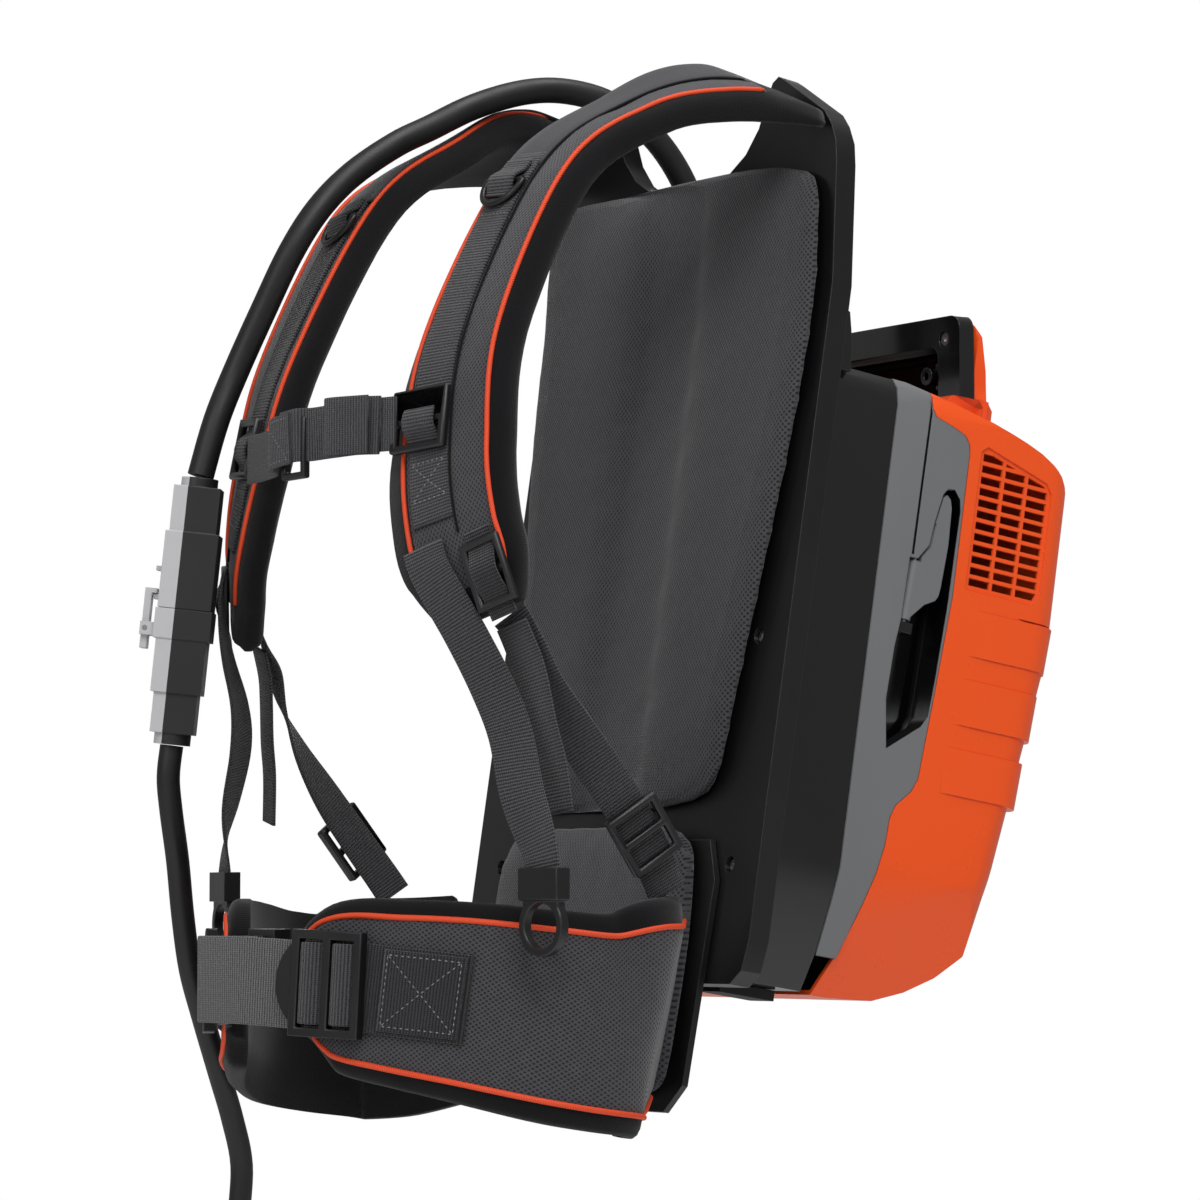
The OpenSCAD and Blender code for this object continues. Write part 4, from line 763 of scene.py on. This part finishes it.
def over_bar(name, edges, station, aside, base, hump, width, surface, side, centre=0):
    """Webbing that humps over a bar: how far along the strip, and how high over its base, at each step."""
    mid, across, along, up, _ = strip(edges, station)
    line = [mid + across * aside + up * (base + h) + along * (centre + d) for d, h in hump]
    strap(name, ribbon_frames(line, [across] * len(hump), 4), width, WEBBING_T, surface, side)


# A stitch has its two ends, two sides and a crown: start, left, right, crown, end
STITCH_FACES = [(0, 3, 1), (0, 2, 3), (4, 1, 3), (4, 3, 2), (0, 1, 4), (0, 4, 2)]


def stitched(name, frames, rows, lift, side, pitch=3.4, radius=0.42):
    """Rows of stitches on a strap. A row is a list of places: distance along, and distance across."""
    middle, across, up, far = frames
    corners, faces = [], []
    for row in rows:
        for (d0, a0), (d1, a1) in zip(row[:-1], row[1:]):
            count = max(1, int(math.hypot(d1 - d0, a1 - a0) / pitch))
            for k in range(count):
                ends = []
                for t in ((k + 0.14) / count, (k + 0.86) / count):
                    d, a = d0 + (d1 - d0) * t, a0 + (a1 - a0) * t
                    at = np.array([np.interp(d, far, middle[:, i]) for i in range(3)])
                    si = np.array([np.interp(d, far, across[:, i]) for i in range(3)])
                    ou = np.array([np.interp(d, far, up[:, i]) for i in range(3)])
                    ends.append((at + si * a + ou * lift, ou))
                (start, out), (end, _) = ends
                run = end - start
                width = np.cross(run / np.linalg.norm(run), out) * radius
                crown = (start + end) / 2 + out * radius
                sunk = out * radius * 0.6
                base = len(corners)
                corners += [start, crown - width - sunk, crown + width - sunk, crown, end]
                faces += [[base + k for k in face] for face in STITCH_FACES]
    data = bpy.data.meshes.new(name)
    data.from_pydata(flipped(corners, side).tolist(), [], faces)
    data.materials.append(thread)
    data.polygons.foreach_set("use_smooth", [True] * len(faces))
    work = bmesh.new()
    work.from_mesh(data)
    bmesh.ops.recalc_face_normals(work, faces=work.faces)
    work.to_mesh(data)
    work.free()
    made = bpy.data.objects.new(name, data)
    scene.collection.objects.link(made)
    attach(made, "pack")


WEBBING_UP = PAD_T / 2 * 1.14 + 0.5 + WEBBING_T / 2
RING_STATION = 3.15
RING_HUMP = [(-16, 1.9), (-9, 2.6), (-4.5, 4.9), (0, 6.6), (4.5, 4.9), (8, 2.7), (10.5, 1.9)]
for word, side in SIDES:
    pad = cushion("shoulder_pad_cloth_" + word, PAD_EDGES, PAD_SECTION, PAD_T, [binding, mesh_fabric],
                  pad_split, side, shape=pad_shape)
    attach(pad, "pack")
    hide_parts("shoulder_pad_" + word)
    for where, x, y, end in (("neck", -0.85, 1.02, 7.0), ("arm", 0.78, 1.04, 7.45)):
        line = [strip_point(PAD_EDGES, s, (x + (0.1 * settled(s) if x < 0 else 0))
                            * strip(PAD_EDGES, s)[4], y * PAD_T / 2) for s in np.arange(0.66, end, 0.25)]
        edge = piping("shoulder_piping_" + where + "_" + word, line, PIPING_R, piping_cloth, side)
        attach(edge, "pack")
    stations = np.arange(0.2, 3.01, 0.2)
    cover = [strip_point(PAD_EDGES, s, -13.5, WEBBING_UP - 0.2 - 14 * max(0, 0.8 - s)) for s in stations]
    cover_frames = ribbon_frames(cover, [strip(PAD_EDGES, s)[1] for s in stations], 4)
    strap("shoulder_cover_" + word, cover_frames, 37, 1.6, panel_cloth, side)
    stations = np.arange(2.9, 6.01, 0.25)
    run = [strip_point(PAD_EDGES, s, -12 + 3 * settled(s), WEBBING_UP) for s in stations]
    run_frames = ribbon_frames(run, [strip(PAD_EDGES, s)[1] for s in stations], 4)
    chest = strap("shoulder_webbing_cloth_" + word, run_frames, 28, WEBBING_T, webbing, side)
    over_bar("ring_loop_" + word, PAD_EDGES, RING_STATION, -14, WEBBING_UP, RING_HUMP, 24, webbing, side)
    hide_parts("shoulder_webbing_" + word)
    first, last = run_frames[3][-1] - 36, run_frames[3][-1] - 14
    stitched("chest_stitches_" + word, run_frames,
             [[(first, -12), (first, 12)], [(last, -12), (last, 12)], [(first, -12), (last, 12)],
              [(first, 12), (last, -12)], [(46, -12), (46, 12)], [(26, -12.5), (26, 12.5)]],
             WEBBING_T / 2 + 0.1, side)
    seam = [strip_point(PAD_EDGES, s, 4.8 + settled(s), WEBBING_UP - 0.6)
            for s in np.arange(0.7, 6.3, 0.25)]
    seam_line = piping("shoulder_seam_" + word, seam, 0.9, binding, side)
    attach(seam_line, "pack")
    dressed("d_ring_" + word, satin_black, "ring_" + word)

# ------------------------------------------------------------ chest strap
# Black webbing between two sliders on the pads. Its slack is folded back beside the left slider and
# its end is sewn over a moulded acetal hook. In each slider the webbing runs over the bar.
STERNUM_W = 31
STERNUM_LEFT = [(88, -184.6, 275.5), (72, -188.8, 275.5), (56, -192.6, 275), (32, -197.4, 274.5),
                (20, -201, 274), (11, -206.4, 274), (-4, -207.2, 273)]
STERNUM_FOLD = [(79, -190, 275), (66, -195, 275.5), (53, -200.5, 275.5), (46.5, -204.5, 275.5),
                (47, -206.8, 275.5), (55, -205.4, 275.5), (66, -200.6, 275.5), (76, -196, 275.5)]
STERNUM_END = [(9, -208.6, 272.5), (-4, -209.2, 271.5), (-13, -208.6, 270.5), (-19, -206.2, 270)]
STERNUM_RIGHT = [(-80.6, -186.4, 268), (-56, -193.5, 266.8), (-34, -199.5, 266.3), (-12, -205.2, 266.5)]
SLIDER_HUMP = [(-12.5, 1.2), (-9, 3.0), (-5, 6.4), (0, 7.6), (5, 6.4), (9, 3.0), (12.5, 1.2)]
for name, path, width in (("left", STERNUM_LEFT, STERNUM_W), ("fold", STERNUM_FOLD, STERNUM_W + 2.5),
                          ("end", STERNUM_END, STERNUM_W - 1), ("right", STERNUM_RIGHT, STERNUM_W - 2)):
    frames = ribbon_frames(path, [(0, 0, 1)], 8)
    strap("chest_band_" + name, frames, width, WEBBING_T, webbing, 1)
    if name == "end":
        last = frames[3][-1] - 3
        stitched("chest_end_stitches", frames, [
            [(3, -12), (last, -12)], [(last, -12), (last, 12)], [(last, 12), (3, 12)],
            [(3, -12), (last, 12)]], -1.1, 1, 3.2, 0.35)
for word, side in SIDES:
    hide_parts("sternum_strap_" + word)
    rounded(dressed("sternum_slider_" + word, satin_black), 1.6)
    over_bar("slider_loop_" + word, PAD_EDGES, 4.75, -13, WEBBING_UP, SLIDER_HUMP, 24, webbing, side)
rounded(dressed("sternum_hook", satin_black), 1.2)

# ------------------------------------------------------------ lower straps and tails
# Straps of 25 mm webbing: one from each pad's tip to a ladder lock at the hip, and the free end
# that hangs from the adjuster with a moulded finger ring on it.
STRAP_W = 25
LOWER_PATH = [(141.5, -142, 165.6), (147, -132, 149), (152, -123, 125), (157, -107, 98), (160, -86, 70),
              (159, -66, 44), (155, -51, 23), (151.5, -42.9, 10.1)]
LOWER_FACE = [(0.3, -0.9, 0), (0.1, -1, 0), (0.3, -1, 0), (0.7, -0.8, 0), (0.95, -0.5, 0.1), (1, -0.4, 0.2),
              (1, -0.3, 0.2), (1, -0.3, 0.3)]
TAIL_PATH = [(115.5, -183.5, 203), (121.5, -182.5, 190), (130.5, -176.5, 172), (138.5, -168, 152),
             (146, -156, 124), (155, -150, 98), (167, -150, 65), (179, -146.8, 36), (182.5, -145.5, 18)]
TAIL_ACROSS = [(0.86, 0.5, 0), (0.85, 0.52, 0), (0.8, 0.6, 0), (0.72, 0.69, 0), (0.62, 0.78, 0),
               (0.55, 0.84, 0), (0.65, 0.76, 0), (0.93, 0.37, 0), (0.98, 0.2, 0)]
LOOP_PATH = [(145, -143, 160), (148.5, -137, 143), (152, -134, 128), (156, -131, 104), (160, -127, 82),
             (164, -125, 54)]
ADJUSTER_HUMP = [(-26, 2.2), (-19, 2.8), (-13, 4.2), (-7, 7.6), (0, 9.4), (7, 7.6), (13, 4.4), (19, 3.0),
                 (26, 1.4)]
lower_run = np.gradient(np.array(LOWER_PATH), axis=0)
lower_across = np.cross(np.array(LOWER_FACE), lower_run)
lower_across = lower_across / np.linalg.norm(lower_across, axis=1, keepdims=True)
for word, side in SIDES:
    low = strap("lower_strap_cloth_" + word, ribbon_frames(LOWER_PATH, lower_across), STRAP_W, WEBBING_T,
                webbing, side)
    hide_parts("lower_strap_" + word)
    tail_frames = ribbon_frames(TAIL_PATH, TAIL_ACROSS)
    tail = strap("tail_cloth_" + word, tail_frames, STRAP_W, WEBBING_T, webbing, side, 0.5)
    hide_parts("strap_tail_" + word)
    strap("tail_loop_" + word, ribbon_frames(LOOP_PATH, [(0.97, 0.24, 0)]), STRAP_W, WEBBING_T, webbing,
          side)
    for node, edge_mm in (("strap_adjuster_", 1.2), ("ladder_lock_", 1.4), ("pull_ring_", 1.2)):
        rounded(dressed(node + word, satin_black), edge_mm)
    over_bar("adjuster_webbing_" + word, PAD_EDGES, 7.3, 16, PAD_T / 2, ADJUSTER_HUMP, 17, dark_webbing, side)

# ------------------------------------------------------------ hip belt
# Two foam wings in spacer mesh with black binding and orange piping, sewn to the lumbar pad, with
# 50 mm webbing, a stitched patch, framed adjusters with a lift tab, and a two-part buckle.
HIP_T = 14
HIP_WEBBING_W = 50
# The patch ends at this step of the belt webbing, and its second layer lies so many millimetres further out
PATCH_END = 24
LAYER_UP = 1.9
HIP_EDGES = [
    [(109, -7, 9), (140, -29, 7), (162, -46, 5), (168, -76, -3), (160, -113, 0), (130, -151, 5),
     (95, -182, 7), (60, -203, 6), (40, -214, -14)],
    [(103, -33, -117), (131, -57, -126), (157, -80, -127), (165, -106, -122), (157, -138, -116),
     (128, -166, -107), (95, -187, -99), (60, -205, -90), (40, -214, -74)]]
HIP_SECTION = [(-1, -1), (-0.5, -1), (0, -1), (0.5, -1), (1, -1), (1.0, -0.5), (0.995, 0.1), (0.96, 0.5),
               (0.9, 0.72), (0.83, 0.86), (0.79, 0.98), (0.7, 1.08), (0.45, 1.13), (0.15, 1.15),
               (-0.15, 1.15), (-0.45, 1.13), (-0.7, 1.08), (-0.79, 0.98), (-0.83, 0.86), (-0.9, 0.72),
               (-0.96, 0.5), (-0.995, 0.1), (-1.0, -0.5)]
HIP_SPLIT = [1 if 10 <= k <= 16 else 0 for k in range(23)]
BELT_HUMP = [(-9.5, 1.0), (-8, 5.0), (-4.5, 8.6), (0, 9.8), (4.5, 8.6), (8, 5.0), (9.5, 1.0)]
HIP_WEB_OUT = HIP_T / 2 * 1.15 + 0.8 + WEBBING_T / 2
HIP_FRONT = {
    "left": [(46, -223.5, -41), (26, -231, -40), (4, -238, -39), (-18, -240.5, -39), (-34, -240.5, -39),
             (-40, -239.8, -39), (-42, -238, -39), (-40, -236.4, -39), (-34, -235.8, -39), (-12, -235, -39),
             (14, -232, -39)],
    "right": [(46, -223.5, -41), (30, -227.6, -40), (17, -228.4, -39)]}
for word, side in SIDES:
    wing = cushion("hip_pad_cloth_" + word, HIP_EDGES, HIP_SECTION, HIP_T, [binding, mesh_fabric], HIP_SPLIT,
                   side, tip=0.5)
    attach(wing, "pack")
    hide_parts("hip_pad_" + word)
    places = [(s, -0.8) for s in np.arange(0.05, 7.5, 0.25)]
    places += [(7.62, -0.74), (7.72, -0.55), (7.75, 0), (7.72, 0.55), (7.62, 0.74)]
    places += [(s, 0.8) for s in np.arange(7.45, 0.0, -0.25)]
    line = [strip_point(HIP_EDGES, s, x * strip(HIP_EDGES, s)[4], HIP_T / 2) for s, x in places]
    edge = piping("hip_piping_" + word, line, 1.7, piping_cloth, side)
    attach(edge, "pack")
    stations = [5 + 0.5 * i for i in range(5)]
    path = [strip_point(HIP_EDGES, s, -1, HIP_WEB_OUT) for s in stations] + HIP_FRONT[word]
    web_side = [strip(HIP_EDGES, s)[1] for s in stations] + [np.array((0, 0, -1.0))] * len(HIP_FRONT[word])
    web_frames = ribbon_frames(path, web_side)
    patch_frames = [part[:PATCH_END + 1] for part in web_frames]
    front_frames = [part[PATCH_END:] for part in web_frames]
    web = strap("hip_webbing_patch_" + word, patch_frames, HIP_WEBBING_W, WEBBING_T, dark_webbing,
                side)
    strap("hip_webbing_front_" + word, front_frames, HIP_WEBBING_W, WEBBING_T, pale_webbing, side)
    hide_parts("hip_webbing_" + word)
    middle, across, up, _ = [part[1:15] for part in web_frames]
    middle = middle + up * LAYER_UP
    sewn_frames = (middle, across, up, distance_run(middle))
    strap("hip_webbing_sewn_" + word, sewn_frames, HIP_WEBBING_W - 4, WEBBING_T, dark_webbing,
          side)
    last = sewn_frames[3][-1] - 3
    stitched("hip_stitches_" + word, sewn_frames,
             [[(3, -20), (3, 20), (last, 20), (last, -20), (3, -20)], [(3, -20), (last, 20)],
              [(3, 20), (last, -20)]], WEBBING_T / 2 + 0.1, side, 3.6, 0.4)
    rounded(dressed("hip_adjuster_" + word, satin_black), 2.2, 3)
    for number, centre in ((1, -10.5), (2, 10.5)):
        over_bar(f"adjuster_loop_{word}_{number}", HIP_EDGES, 6.95, -1, HIP_WEB_OUT, BELT_HUMP, 46, webbing,
                 side, centre)
rounded(dressed("hip_buckle_socket", satin_black), 1.8)
rounded(dressed("hip_buckle_plug", satin_black), 1.5)
